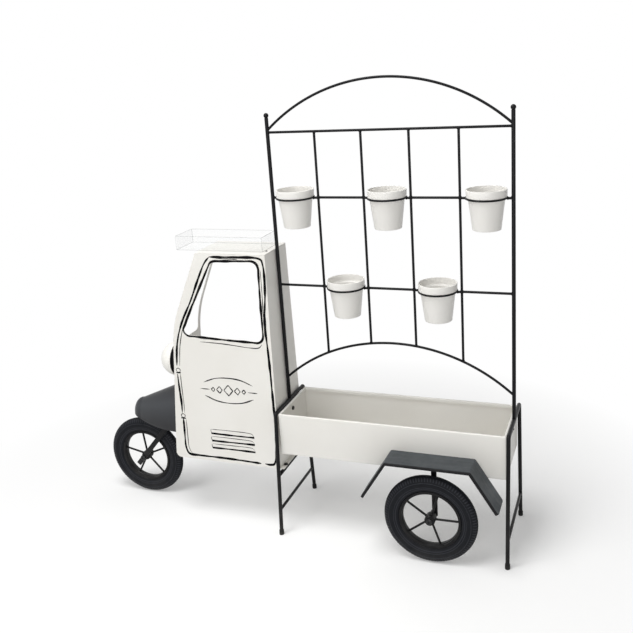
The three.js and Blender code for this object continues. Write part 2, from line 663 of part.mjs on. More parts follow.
const cabLean = Math.atan2((CAB_WIDTH_BOTTOM - CAB_WIDTH_TOP) / 2, CAB_HEIGHT);
const slant = (z) => (z - CAB_BOTTOM_Z) / Math.cos(cabLean);     // a height measured along the leaning side

// Half the cab's width at a height above the floor, less a margin.
function cabHalf(z, margin = 0) {
  const share = (z - CAB_BOTTOM_Z) / CAB_HEIGHT;
  return (CAB_WIDTH_BOTTOM + (CAB_WIDTH_TOP - CAB_WIDTH_BOTTOM) * share) / 2 - margin;
}

// The space between the leaning sides, as wide as a piece of the cab may be, along the whole cab.
function cabWedge(margin, lowZ = CAB_BOTTOM_Z, highZ = cabTopZ) {
  const section = outline([
    [-cabHalf(lowZ, margin), lowZ],
    [cabHalf(lowZ, margin), lowZ],
    [cabHalf(highZ, margin), highZ],
    [-cabHalf(highZ, margin), highZ],
  ]);
  return slabYZ(section, toeX - LAMP_DOME_RADIUS, cabRearX);
}

const sideMargin = SHEET + GAP;     // other cab pieces stop this far inside the outer face of the side

function cabSide() {
  const side = new THREE.Shape();
  side.moveTo(toeX + CAB_TOE_RADIUS, 0);
  side.lineTo(cabRearX, 0);
  side.lineTo(cabRearX, slant(cabTopZ));
  noseDown(side, 0, slant);
  side.lineTo(toeX + lowerLean * CAB_TOE_RADIUS, slant(CAB_BOTTOM_Z + CAB_TOE_RADIUS));
  side.quadraticCurveTo(toeX, 0, toeX + CAB_TOE_RADIUS, 0);
  side.holes.push(doorWindow());
  const geometry = sheetOf(side, SHEET);
  geometry.rotateX(Math.PI / 2 - cabLean);
  geometry.translate(0, -CAB_WIDTH_BOTTOM / 2 + SHEET * Math.cos(cabLean), CAB_BOTTOM_Z);
  piece('cab_side_panel', solid(geometry), creamPaint);
}

// The window: a slanted front edge that follows the windscreen, a short upright one under it, round corners.
function doorWindow() {
  const frontAt = (z) => roofX + upperLean * (z - cabTopZ) + WINDOW_FRONT;
  const rear = cabRearX - WINDOW_REAR;
  const sill = CAB_BOTTOM_Z + WINDOW_SILL_HEIGHT;
  const head = cabTopZ - WINDOW_HEAD_DROP;
  const knee = sill + 2 * WINDOW_RADIUS;
  return roundedOutline([
    [rear, slant(sill), WINDOW_RADIUS],
    [frontAt(knee), slant(sill), WINDOW_RADIUS / 2],
    [frontAt(knee), slant(knee), WINDOW_RADIUS / 2],
    [frontAt(head), slant(head), WINDOW_RADIUS],
    [rear, slant(head), WINDOW_RADIUS],
  ]);
}

function cabFront() {
  const strip = new THREE.Shape();
  const skin = SHEET + GAP;
  strip.moveTo(toeX, CAB_BOTTOM_Z);
  noseUp(strip, 0);
  noseDown(strip, skin);
  strip.lineTo(toeX + skin, CAB_BOTTOM_Z);
  strip.closePath();
  const half = CAB_WIDTH_BOTTOM / 2;
  const sheet = slabXZ(strip, -half, half).intersect(cabWedge(sideMargin));
  const sill = CAB_BOTTOM_Z + SCREEN_SILL_HEIGHT;
  const head = cabTopZ - SCREEN_HEAD_DROP;
  const screen = roundedOutline([
    [-cabHalf(sill, sideMargin + SCREEN_BORDER), sill, SCREEN_RADIUS],
    [cabHalf(sill, sideMargin + SCREEN_BORDER), sill, SCREEN_RADIUS],
    [cabHalf(head, sideMargin + SCREEN_BORDER), head, SCREEN_RADIUS],
    [-cabHalf(head, sideMargin + SCREEN_BORDER), head, SCREEN_RADIUS],
  ]);
  const opening = slabYZ(screen, toeX, roofX + skin);
  piece('cab_front_panel', cut(sheet, opening), creamPaint);
}

// Everything behind the outer face of the nose: what is fixed to the nose ends on it.
function behindNose() {
  const block = new THREE.Shape();
  block.moveTo(toeX - GAP, CAB_BOTTOM_Z);
  noseUp(block, -GAP);
  block.lineTo(cabRearX, cabTopZ);
  block.lineTo(cabRearX, CAB_BOTTOM_Z);
  block.closePath();
  return slabXZ(block, -CAB_WIDTH_BOTTOM, CAB_WIDTH_BOTTOM);
}

// Two bolts go through the rear wall into the leg frame's top bar.
function cabBoltHoles() {
  return [-1, 1].map((way) => {
    const y = (way * CAB_BOLT_SPREAD) / 2;
    const from = V(cabRearX - SHEET - OVERCUT, y, topBarZ);
    return rod(from, V(frameX.left + OVERCUT, y, topBarZ), BOLT_SHANK + 2 * GAP, ROD_SIDES);
  });
}

// Two screws go down through the rear wall's flange into the bearer bar.
function cabScrewHoles() {
  return [-1, 1].map((way) => {
    const y = (way * CAB_BOLT_SPREAD) / 2;
    const from = V(frameX.left, y, cabBarZ - OVERCUT);
    return rod(from, V(frameX.left, y, CAB_BOTTOM_Z + SHEET + OVERCUT), BOLT_SHANK + 2 * GAP, ROD_SIDES);
  });
}

// The rear wall, with a flange at its foot that stands on the bearer bar.
function cabRear() {
  const half = CAB_WIDTH_BOTTOM / 2;
  const wall = box(V(cabRearX - SHEET, -half, CAB_BOTTOM_Z), V(cabRearX, half, cabTopZ));
  const inner = cabHalf(CAB_BOTTOM_Z + SHEET, sideMargin);
  const flange = box(
    V(cabRearX - SHEET, -inner, CAB_BOTTOM_Z),
    V(cabRearX + LEG_TUBE, inner, CAB_BOTTOM_Z + SHEET),
  );
  const sheet = join(wall.intersect(cabWedge(sideMargin)), flange);
  piece('cab_rear_panel', cut(sheet, ...cabBoltHoles(), ...cabScrewHoles()), creamPaint);
}

function cabRoof() {
  const half = CAB_WIDTH_TOP / 2;
  const low = cabTopZ + GAP;
  piece('cab_roof', box(V(roofX, -half, low), V(cabRearX, half, low + SHEET)), creamPaint);
}

// A bolt or screw of the cab: from the outer side of its head to its tip.
function fastener(name, face, tip) {
  const along = tip.clone().sub(face).setLength(BOLT_HEAD_THICKNESS);
  const seat = face.clone().add(along);
  const inHead = face.clone().addScaledVector(along, 0.5);
  piece(name, join(rod(face, seat, BOLT_HEAD, HEX_SIDES), rod(inHead, tip, BOLT_SHANK, ROD_SIDES)), boltSteel);
}

function cabFasteners() {
  [['show', -1], ['back', 1]].forEach(([place, way]) => {
    const y = (way * CAB_BOLT_SPREAD) / 2;
    const wall = cabRearX - SHEET - GAP;
    const flange = CAB_BOTTOM_Z + SHEET + GAP;
    fastener(`cab_bolt_${place}`, V(wall - BOLT_HEAD_THICKNESS, y, topBarZ), V(frameX.left, y, topBarZ));
    const screwTop = V(frameX.left, y, flange + BOLT_HEAD_THICKNESS);
    fastener(`cab_screw_${place}`, screwTop, V(frameX.left, y, cabBarZ));
  });
}

// ---- headlamp: a black drum on the nose and a white dome in front of it
function headlamp() {
  const noseX = toeX + lowerLean * (lampZ - CAB_BOTTOM_Z);
  const domeX = noseX - LAMP_DRUM_LENGTH - GAP;
  const face = domeX + GAP;
  const drum = rod(V(face, 0, lampZ), V(noseX + LAMP_DRUM_RADIUS, 0, lampZ), 2 * LAMP_DRUM_RADIUS, POT_SIDES);
  const inside = rod(
    V(face - OVERCUT, 0, lampZ),
    V(face + LAMP_DRUM_LENGTH / 2, 0, lampZ),
    2 * (LAMP_DRUM_RADIUS - LAMP_WALL),
    POT_SIDES,
  );
  const flange = rod(V(face, 0, lampZ), V(face + LAMP_FLANGE, 0, lampZ), 2 * LAMP_DOME_RADIUS, POT_SIDES);
  piece('headlamp_drum', cut(join(drum, flange), inside, behindNose()), blackPaint);
  const profile = [];
  for (let k = 0; k <= DOME_STEPS; k += 1) {
    const angle = (k / DOME_STEPS) * (Math.PI / 2);
    profile.push([LAMP_DOME_RADIUS * Math.cos(angle), LAMP_DOME_RADIUS * Math.sin(angle)]);
  }
  profile[DOME_STEPS][0] = 0;
  const inner = profile.map(([radius, height]) => {
    const scale = (LAMP_DOME_RADIUS - LAMP_WALL) / LAMP_DOME_RADIUS;
    return [radius * scale, height * scale];
  });
  const dome = turned([...inner.reverse(), ...profile], POT_SIDES).rotateY(-Math.PI / 2);
  piece('headlamp_dome', solid(dome.translate(domeX, 0, lampZ)), lampGlass);
}

// ---- front fender: half of a flattened cone with a round nose, open below
function fender() {
  const tipX = frontCentre.x - FENDER_NOSE_REACH;
  const rearX = waistX;
  const noseRun = FENDER_NOSE_HEIGHT / 2;
  const shell = (inset) => {
    const profile = [];
    for (let k = 0; k <= CURVE_STEPS; k += 1) {
      const angle = (k / CURVE_STEPS) * (Math.PI / 2);
      const x = tipX + noseRun - (noseRun - inset) * Math.cos(angle);
      profile.push([(FENDER_NOSE_HEIGHT - inset) * Math.sin(angle), x]);
    }
    profile.push([FENDER_REAR_HEIGHT - inset, rearX + inset], [0, rearX + inset]);
    const flatness = (FENDER_REAR_HEIGHT * FENDER_FLATNESS - inset) / (FENDER_REAR_HEIGHT - inset);
    return turned(profile, WHEEL_SIDES).rotateY(Math.PI / 2).scale(1, flatness, 1).translate(0, 0, fenderBaseZ);
  };
  const below = box(
    V(tipX - OVERCUT, -FENDER_REAR_HEIGHT, fenderBaseZ - 2 * FENDER_REAR_HEIGHT),
    V(rearX + FENDER_REAR_HEIGHT, FENDER_REAR_HEIGHT, fenderBaseZ),
  );
  piece('front_fender', cut(solid(shell(0)), solid(shell(FENDER_SHEET)), below, behindNose()), blackPaint);
}

// ---- front wheel, carried by one bar from the nose
function frontRunningGear() {
  wheel('front_wheel', frontCentre, FRONT_SPOKE_TURN);
  const barInnerY = -wheelHalf - WHEEL_CLEARANCE;
  const barOuterY = barInnerY - FORK_THICKNESS;
  const angle = THREE.MathUtils.degToRad(FORK_ANGLE);
  const reach = CAB_TOE_LENGTH;
  const bar = new THREE.BoxGeometry(FORK_TAIL + reach, FORK_THICKNESS, FORK_WIDTH);
  bar.translate((reach - FORK_TAIL) / 2, 0, 0).rotateY(-angle);
  bar.translate(frontCentre.x, barOuterY + FORK_THICKNESS / 2, frontCentre.z);
  const hubShowY = -HUB_LENGTH / 2;
  barWithBoss('front_fork_bar', solid(bar).subtract(behindNose()), frontCentre, barOuterY, hubShowY - GAP);
  axle('front_axle', frontCentre, barOuterY - GAP, HUB_LENGTH / 2 + GAP + NUT_THICKNESS + AXLE_END);
  nut('front_axle_nut', frontCentre, HUB_LENGTH / 2 + GAP);
}

// ---- clear tray that stands on the cab's roof
function roofTray() {
  const low = cabTopZ + SHEET + 2 * GAP;
  const right = cabRearX - TRAY_REAR;
  const left = right - TRAY_LENGTH;
  const half = TRAY_DEPTH / 2;
  const block = box(V(left, -half, low), V(right, half, low + TRAY_HEIGHT));
  const hollow = box(
    V(left + TRAY_WALL, -half + TRAY_WALL, low + TRAY_WALL),
    V(right - TRAY_WALL, half - TRAY_WALL, low + TRAY_HEIGHT + OVERCUT),
  );
  piece('roof_tray', cut(block, hollow), clearPlastic);
}

// ---------------------------------------------------------------- putting it together
planter();
['left', 'right'].forEach((side) => {
  legFrame(side);
  crossBar(`leg_low_bar_${side}`, side, LOW_BAR_Z, LOW_BAR_DIAMETER);
  foot(`foot_${side}_show`, side, -1);
  foot(`foot_${side}_back`, side, 1);
  planterBolt(side);
  post(side);
});
crossBar('cab_bearer_bar', 'left', cabBarZ, LEG_TUBE, cabScrewHoles());

arch('trellis_top_arch', topArchZ);
arch('trellis_low_arch', lowArchZ);
rail('trellis_top_rail', topRailZ, 0, BAYS);
uprightX.forEach((_, k) => upright(k + 1));

// Pots hang in every second bay, and the two rows are staggered.
[['upper', upperRailZ, 0], ['middle', middleRailZ, 1]].forEach(([row, z, firstRing]) => {
  for (let bay = 0; bay < BAYS; bay += 1) {
    if (bay % 2 === firstRing) {
      pot(`pot_${row}_${bay + 1}`, ringBay(`pot_ring_${row}_${bay + 1}`, z, bay));
    } else {
      rail(`trellis_${row}_rail_${bay + 1}`, z, bay, bay + 1);
    }
  }
});

rearRunningGear();
mudguard();
cabSide();
cabFront();
cabRear();
cabRoof();
cabFasteners();
headlamp();
fender();
frontRunningGear();
roofTray();

// The origin is on the floor, under the middle of the cart.
const extent = new THREE.Box3().setFromObject(cart);
cart.position.set(-(extent.min.x + extent.max.x) / 2, -(extent.min.y + extent.max.y) / 2, 0);

export default cart;
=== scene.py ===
# %% [markdown]
# # A flower cart stand
# The real object is a garden stand in the shape of a small three-wheeled cart: a sheet-metal cab, a planter
# on two leg frames, a rod trellis with pots in wire rings, a wheel under the nose and one beside the planter.
# Every piece here is a surface that numpy works out as whole arrays. The sizes come from the fixed frame, so
# each new surface lies where the solid that it stands for lies.

# %% The frame
import math

import bpy
import numpy as np
from mathutils import Matrix, Vector


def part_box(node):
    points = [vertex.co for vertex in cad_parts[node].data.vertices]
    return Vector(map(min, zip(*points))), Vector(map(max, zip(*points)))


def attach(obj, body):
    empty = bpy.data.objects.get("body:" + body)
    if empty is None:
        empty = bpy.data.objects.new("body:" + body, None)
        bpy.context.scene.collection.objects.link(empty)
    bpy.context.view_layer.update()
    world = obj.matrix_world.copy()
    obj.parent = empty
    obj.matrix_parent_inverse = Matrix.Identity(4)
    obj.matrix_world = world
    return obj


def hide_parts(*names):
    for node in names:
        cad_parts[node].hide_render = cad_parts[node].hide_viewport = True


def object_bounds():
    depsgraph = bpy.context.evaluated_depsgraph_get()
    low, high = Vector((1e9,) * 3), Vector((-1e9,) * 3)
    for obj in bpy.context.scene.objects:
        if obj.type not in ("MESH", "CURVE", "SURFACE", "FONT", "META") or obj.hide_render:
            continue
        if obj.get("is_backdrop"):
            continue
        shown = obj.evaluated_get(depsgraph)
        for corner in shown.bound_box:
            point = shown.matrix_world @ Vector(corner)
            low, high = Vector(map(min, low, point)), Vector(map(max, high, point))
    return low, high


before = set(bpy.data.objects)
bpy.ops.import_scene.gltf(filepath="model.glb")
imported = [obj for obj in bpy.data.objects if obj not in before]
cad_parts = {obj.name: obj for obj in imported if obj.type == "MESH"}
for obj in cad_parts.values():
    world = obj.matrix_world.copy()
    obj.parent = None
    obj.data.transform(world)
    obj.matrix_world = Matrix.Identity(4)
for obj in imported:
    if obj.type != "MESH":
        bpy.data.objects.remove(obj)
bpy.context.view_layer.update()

MM = 0.001


def box(node):
    """The two corners of a solid's box, as arrays."""
    return [np.array(corner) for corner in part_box(node)]


def middle_of(node):
    """The middle of a solid's box."""
    return sum(box(node)) / 2


# %% [markdown]
# ## The camera
# The picture was taken from a little above the trellis, to the right of the cart's middle. A camera has a
# place, three turns and a lens. The heading is counted from straight along +Y, the pitch from the horizon.
# The lens shift moves the frame over the picture without turning the camera.

# %% The camera
CAMERA_PLACE = (1.0778, -2.3107, 1.5708)
CAMERA_HEADING = 20.29
CAMERA_PITCH = -15.69
CAMERA_ROLL = -3.55
SENSOR = 36.0
LENS = 45.789
LENS_SHIFT = (-0.0417, -0.0598)
CLIP_END = 50


def camera_turn():
    """Heading about the vertical, pitch about the camera's own right, then roll about its view."""
    heading = Matrix.Rotation(math.radians(CAMERA_HEADING), 4, "Z")
    pitch = Matrix.Rotation(math.radians(90 + CAMERA_PITCH), 4, "X")
    roll = Matrix.Rotation(math.radians(CAMERA_ROLL), 4, "Z")
    return heading @ pitch @ roll


def placed(name, data):
    """A new object in the scene."""
    thing = bpy.data.objects.new(name, data)
    scene.collection.objects.link(thing)
    return thing


scene = bpy.context.scene
camera = placed("camera", bpy.data.cameras.new("camera"))
camera.matrix_world = Matrix.Translation(CAMERA_PLACE) @ camera_turn()
camera.data.sensor_width = SENSOR
camera.data.lens = LENS
camera.data.shift_x, camera.data.shift_y = LENS_SHIFT
camera.data.clip_end = CLIP_END
scene.camera = camera
print("camera at", CAMERA_PLACE, "m, lens", LENS, "mm")

# %% [markdown]
# ## Node trees
# Materials and the world are node trees. Short helpers keep them readable. One feeds a socket with either a
# number or another node's output, and one adds a node and feeds its inputs by name. The others empty a tree,
# give a point's place and its three parts, do one step of arithmetic, and tell how a ray reached the surface.

# %% Helpers for node trees
def feed(tree, socket, value):
    """Links a socket to the value if it is an output, and sets it if it is a number or a colour."""
    if isinstance(value, bpy.types.NodeSocket):
        tree.links.new(value, socket)
    else:
        socket.default_value = value


def empty_tree(owner):
    """The node tree of a material or a world, with nothing in it."""
    owner.use_nodes = True
    owner.node_tree.nodes.clear()
    return owner.node_tree


def add(tree, kind, inputs=None, **settings):
    """A new node with its settings, and its inputs fed by name or by number."""
    node = tree.nodes.new(kind)
    for key, value in settings.items():
        setattr(node, key, value)
    for key, value in (inputs or {}).items():
        feed(tree, node.inputs[key], value)
    return node


def location(tree):
    """Where a point of the surface is, in metres of the object's own frame."""
    return add(tree, "ShaderNodeTexCoord").outputs["Object"]


def split(tree, vector):
    """The three parts of a vector, by name."""
    return add(tree, "ShaderNodeSeparateXYZ", {"Vector": vector}).outputs


def calculate(tree, operation, *values):
    """One step of arithmetic: the output of a Math node."""
    node = add(tree, "ShaderNodeMath", dict(enumerate(values)), operation=operation)
    return node.outputs[0]


def seen_directly(tree):
    """1 for rays that show a surface as it is: from the camera, in a mirror image, or through glass."""
    path = add(tree, "ShaderNodeLightPath")
    mirrored = calculate(tree, "MAXIMUM", path.outputs["Is Camera Ray"], path.outputs["Is Glossy Ray"])
    return calculate(tree, "MAXIMUM", mirrored, path.outputs["Is Transmission Ray"])


# %% [markdown]
# ## Light
# A product picture has a white surround and soft light. The world is white where it is seen directly, and
# dimmer where it lights the object, so that pale paint keeps its colour. A soft lamp high up and a little in
# front throws the shadow down and to the back, a low one in front opens the upright faces, and one from the
# left gives them some shape.

# %% Light
WORLD_LIGHT = 0.34
LAMPS = {
    "key_lamp": dict(place=(-1.8, -2.6, 3.4), side=1.8, power=34),
    "front_lamp": dict(place=(0.9, -4.4, 1.5), side=2.6, power=50),
    "top_lamp": dict(place=(-0.3, -0.9, 3.8), side=1.6, power=76),
}
AIM = (0.0, 0.0, 0.6)

scene.view_settings.view_transform = "Standard"


def studio_world():
    """White air for the camera and for mirror images, dimmer air as a light."""
    world = bpy.data.worlds.new("studio_air")
    tree = empty_tree(world)
    extra = calculate(tree, "MULTIPLY", seen_directly(tree), 1 - WORLD_LIGHT)
    strength = calculate(tree, "ADD", extra, WORLD_LIGHT)
    air = add(tree, "ShaderNodeBackground", {"Color": (1, 1, 1, 1), "Strength": strength})
    add(tree, "ShaderNodeOutputWorld", {"Surface": air.outputs[0]})
    return world


def soft_lamp(name, place, side, power):
    """A square lamp that faces the cart."""
    data = bpy.data.lights.new(name, "AREA")
    data.shape = "SQUARE"
    data.size = side
    data.energy = power
    lamp = placed(name, data)
    turn = (Vector(AIM) - Vector(place)).to_track_quat("-Z", "Y")
    lamp.matrix_world = Matrix.Translation(place) @ turn.to_matrix().to_4x4()


scene.world = studio_world()
for name, lamp in LAMPS.items():
    soft_lamp(name, **lamp)
print("world light", WORLD_LIGHT, "lamps", [lamp["power"] for lamp in LAMPS.values()], "W")

# %% [markdown]
# ## Surfaces as arrays
# A closed surface is a stack of rings of points: quads join each ring to the next, and the two ends are
# closed by fans. A tube, a pot, a tyre or a trough is all the same recipe with other rings. A sheet is two
# grids, its outer and its inner face, joined along the rim. Points that fall together are merged, and the
# sign of the volume tells whether the faces point outwards.

# %% Closed surfaces
MERGE = 1e-6


def skin(rings, loop=False, tips=None):
    """Quads over rings[i, j]. The end rings join in a loop, or each is closed by a fan to its tip."""
    rings = np.asarray(rings, float)
    count, sides, _ = rings.shape
    index = np.arange(count * sides).reshape(count, sides)
    beside = np.roll(index, -1, axis=1)
    quads = np.stack([index, beside, np.roll(beside, -1, axis=0), np.roll(index, -1, axis=0)], axis=-1)
    points = rings.reshape(-1, 3)
    if loop:
        return points, quads.reshape(-1, 4)
    tips = (rings[0].mean(0), rings[-1].mean(0)) if tips is None else tips
    start, end = (np.full(sides, count * sides + k) for k in (0, 1))
    first = np.stack([beside[0], index[0], start, start], axis=-1)
    last = np.stack([index[-1], beside[-1], end, end], axis=-1)
    return np.vstack([points, tips]), np.vstack([quads[:-1].reshape(-1, 4), first, last])


def shell(outer, inner):
    """Two open grids of the same shape, joined along their four borders into one closed sheet."""
    rows, columns, _ = outer.shape
    index = np.arange(rows * columns).reshape(rows, columns)
    under = index + rows * columns
    face = [index[:-1, :-1], index[:-1, 1:], index[1:, 1:], index[1:, :-1]]
    back = [under[:-1, :-1], under[1:, :-1], under[1:, 1:], under[:-1, 1:]]
    quads = [np.stack(face, -1).reshape(-1, 4), np.stack(back, -1).reshape(-1, 4)]
    rim = np.concatenate([index[0, :-1], index[:-1, -1], index[-1, :0:-1], index[:0:-1, 0]])
    ahead = np.roll(rim, -1)
    quads.append(np.stack([ahead, rim, rim + rows * columns, ahead + rows * columns], -1))
    return np.vstack([outer.reshape(-1, 3), inner.reshape(-1, 3)]), np.vstack(quads)


def tidy(points, quads):
    """Merges points that fall together and turns the quads that lost a corner into triangles."""
    _, first, new = np.unique(np.round(points / MERGE), axis=0, return_index=True, return_inverse=True)
    points, quads = points[first], new.reshape(-1)[quads]
    doubled = quads == np.roll(quads, -1, axis=1)
    triangles = quads[doubled.sum(1) == 1][~doubled[doubled.sum(1) == 1]].reshape(-1, 3)
    return points, quads[doubled.sum(1) == 0], triangles


def volume(points, quads):
    """Sum of the signed tetrahedra between faces and origin: below zero when the faces point inwards."""
    a, b, c, d = points[quads].transpose(1, 0, 2)
    return float((np.cross(a, b) * c + np.cross(a, c) * d).sum() / 6)


def outward(surface):
    """The same surface with its faces turned outwards."""
    points, quads = surface
    middle = points - points.mean(0)
    return (points, quads) if volume(middle, quads) > 0 else (points, quads[:, ::-1])


# %% [markdown]
# ## From surfaces to pieces
# A piece of the stand is often several closed surfaces that are welded together, such as a bar with its boss.
# They become one object with one finish. It rides on a body of the frame and takes the place of its solids.
# Edges sharper than the crease angle stay crisp, and a small bevel eases the edges of cut sheet.

# %% Making a piece
BEVEL_STEPS = 2
CUT_EDGE = 0.4 * MM
made = []


def piece(name, surfaces, material, stands_for, body="stand", crease=35, bevel=0.0):
    """One object out of closed surfaces. It rides on a body and stands for the named solids."""
    points, quads, triangles, count = [], [], [], 0
    for surface in surfaces:
        part_points, part_quads, part_triangles = tidy(*outward(surface))
        points.append(part_points)
        quads.append(part_quads + count)
        triangles.append(part_triangles + count)
        count += len(part_points)
    mesh = bpy.data.meshes.new(name)
    mesh.from_pydata(np.vstack(points), [], np.vstack(quads).tolist() + np.vstack(triangles).tolist())
    mesh.shade_smooth()
    mesh.set_sharp_from_angle(angle=math.radians(crease))
    mesh.materials.append(material)
    thing = placed(name, mesh)
    if bevel:
        rounding = thing.modifiers.new("rounding", "BEVEL")
        rounding.width = bevel
        rounding.segments = BEVEL_STEPS
        rounding.limit_method = "ANGLE"
        rounding.angle_limit = math.radians(crease)
    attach(thing, body)
    if stands_for:
        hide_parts(*stands_for)
    made.append(thing)
    extent = np.subtract(thing.bound_box[6], thing.bound_box[0]) / MM
    print(f"{name}: {len(mesh.polygons)} faces, {np.round(extent, 1)} mm")
    return thing


# %% [markdown]
# ## Profiles and paths
# Most pieces are a section carried along a path, or a profile turned about an axis. The section is a circle
# for tubes and a rectangle with round corners for flat bars. A path with sharp corners is drawn first, and
# each corner is then replaced by an arc, as a tube bender would do.

# %% Profiles and paths
TUBE_SIDES = 28


def angles(count):
    """Equal steps round a circle."""
    return np.arange(count) * 2 * math.pi / count


def circle(radius, sides=TUBE_SIDES):
    """(cos a, sin a) times the radius."""
    turn = angles(sides)
    return radius * np.stack([np.cos(turn), np.sin(turn)], -1)


def unit(vectors):
    """The same directions with a length of one."""
    return vectors / np.linalg.norm(vectors, axis=-1, keepdims=True)


def arc(corner, before, after, radius, steps):
    """Arc that touches both legs of a corner, each at the radius over the half angle's tangent."""
    to_before, to_after = unit(before - corner), unit(after - corner)
    half = math.acos(float(np.clip(to_before @ to_after, -1, 1))) / 2
    centre = corner + unit(to_before + to_after) * radius / math.sin(half)
    start = corner + to_before * radius / math.tan(half) - centre
    end = corner + to_after * radius / math.tan(half) - centre
    share = np.linspace(0, 1, steps + 1)[:, None]
    turn = math.pi - 2 * half
    swung = start * np.sin((1 - share) * turn) + end * np.sin(share * turn)
    return centre + swung / math.sin(turn)


def left_of(steps):
    """Unit normals to the left of the steps of a flat line."""
    steps = unit(steps)
    return np.stack([-steps[:, 1], steps[:, 0]], -1)


def bent(points, radius, steps, closed=False):
    """A polyline with its corners rounded. radius is one number, or one for each corner."""
    points = np.asarray(points, float)
    radii = np.broadcast_to(radius, len(points))
    stretches = []
    for k, corner in enumerate(points):
        if closed or 0 < k < len(points) - 1:
            after = points[(k + 1) % len(points)]
            stretches.append(arc(corner, points[k - 1], after, radii[k], steps))
        else:
            stretches.append(corner[None])
    return np.vstack(stretches)


def rounded_bar(width, height, radius):
    """Section of a flat bar: a rectangle with round corners."""
    x, y = width / 2, height / 2
    return bent([(-x, -y), (x, -y), (x, y), (-x, y)], radius, 4, closed=True)


def carried(path, section, normal):
    """The section at each point of the path, square to it: side = normal, lift = tangent x normal."""
    path = np.asarray(path, float)
    tangent = unit(np.gradient(path, axis=0))
    side = np.broadcast_to(np.asarray(normal, float), path.shape)
    lift = np.cross(tangent, side)
    across = section[None, :, 0, None] * side[:, None] + section[None, :, 1, None] * lift[:, None]
    return path[:, None] + across


def straight(start, end, along, section, scale, normal):
    """A bar between two points, its section scaled at the given shares of its length."""
    path = start + along[:, None] * (end - start)
    rings = carried(path, section, normal)
    return skin(path[:, None] + (rings - path[:, None]) * scale[:, None, None])


def tube(start, end, radius, normal, round_end=0.0):
    """A straight tube whose two ends are eased by a small radius, as a cut and ground tube's are."""
    start, end = np.asarray(start, float), np.asarray(end, float)
    length = np.linalg.norm(end - start)
    ease = round_end or radius / 8
    depth = np.array([0, 0.3, 1]) * ease
    inset = ease - np.sqrt(ease ** 2 - (ease - depth) ** 2)
    along = np.concatenate([depth, length - depth[::-1]]) / length
    scale = 1 - np.concatenate([inset, inset[::-1]]) / radius
    return straight(start, end, along, circle(radius), scale, normal)


def turned(profile, centre, axis, sides, loop=False):
    """(radius, height) turned about an axis: centre + height * axis + radius * (cos a * u + sin a * v)."""
    profile = np.asarray(profile, float)
    axis = np.asarray(axis, float)
    u = np.roll(axis, 1)
    v = np.cross(axis, u)
    turn = angles(sides)[:, None]
    spoke = np.cos(turn) * u + np.sin(turn) * v
    rings = centre + profile[:, 1, None, None] * axis + profile[:, 0, None, None] * spoke[None]
    if loop:
        return skin(rings, loop=True)
    tips = np.asarray(centre) + profile[[0, -1], 1, None] * axis
    return skin(rings, tips=tips)


def smooth(points, steps, closed=False):
    """A Catmull-Rom curve: it passes through every point, with tangents along the neighbours' chord."""
    points = np.asarray(points, float)
    if not closed:
        points = np.vstack([2 * points[0] - points[1], points, 2 * points[-1] - points[-2]])
        p0, p1, p2, p3 = points[:-3], points[1:-2], points[2:-1], points[3:]
    else:
        p0, p1, p2, p3 = (np.roll(points, shift, axis=0) for shift in (1, 0, -1, -2))
    t = (np.arange(steps) / steps)[None, :, None]
    p0, p1, p2, p3 = (p[:, None] for p in (p0, p1, p2, p3))
    bend = 2 * p0 - 5 * p1 + 4 * p2 - p3
    curve = p1 + 0.5 * t * (p2 - p0 + t * (bend + t * (3 * (p1 - p2) + p3 - p0)))
    curve = curve.reshape(-1, points.shape[1])
    return curve if closed else np.vstack([curve, points[-2]])


def resampled(points, count, closed=False):
    """The same line with its points at equal distances."""
    points = np.vstack([points, points[:1]]) if closed else np.asarray(points)
    step = np.linalg.norm(np.diff(points, axis=0), axis=1)
    run = np.concatenate([[0], np.cumsum(step)])
    wanted = np.linspace(0, run[-1], count, endpoint=not closed)
    return np.stack([np.interp(wanted, run, column) for column in points.T], -1)


# %% [markdown]
# ## Finishes
# Powder coat, painted sheet and moulded plastic all have the same kinds of unevenness: a fine grain that only
# shows in the highlights, a slow change of colour, and a little dust that gathers near the floor. One node
# group makes the first two and another the dust, and each material places them with its own values. A third
# group finds the edges of a box. The clear tray uses it, because cut edges of clear sheet look darker.

# A Mix node has sockets for numbers, vectors and colours side by side. Counted from 0, the colours go into
# numbers 6 and 7, and the mixed colour comes out at number 2.

# %% The grain group
def new_group(name, inputs, outputs):
    """An empty shader group with its named sockets."""
    tree = bpy.data.node_groups.new(name, "ShaderNodeTree")
    kinds = {"colour": "NodeSocketColor", "number": "NodeSocketFloat", "vector": "NodeSocketVector"}
    for title, kind, value in inputs:
        socket = tree.interface.new_socket(title, in_out="INPUT", socket_type=kinds[kind])
        socket.default_value = value
    for title, kind in outputs:
        tree.interface.new_socket(title, in_out="OUTPUT", socket_type=kinds[kind])
    return tree, tree.nodes.new("NodeGroupInput").outputs


def give_out(tree, **values):
    """Feeds the outputs of a group by name and hands the group over."""
    out = tree.nodes.new("NodeGroupOutput")
    for title, value in values.items():
        feed(tree, out.inputs[title], value)
    return tree


def noise(tree, where, scale, detail):
    """Noise of about 0 to 1 at a number of waves to the metre."""
    node = add(tree, "ShaderNodeTexNoise", {"Vector": where, "Scale": scale, "Detail": detail})
    return node.outputs["Factor" if "Factor" in node.outputs else "Fac"]


def spread(tree, value, low, high, to_low=0.0, to_high=1.0):
    """Stretches a range of a value to another range."""
    node = add(tree, "ShaderNodeMapRange", {"Value": value, "From Min": low, "From Max": high,
                                            "To Min": to_low, "To Max": to_high})
    return node.outputs[0]


MIX_COLOURS = (6, 7)
MIXED = 2


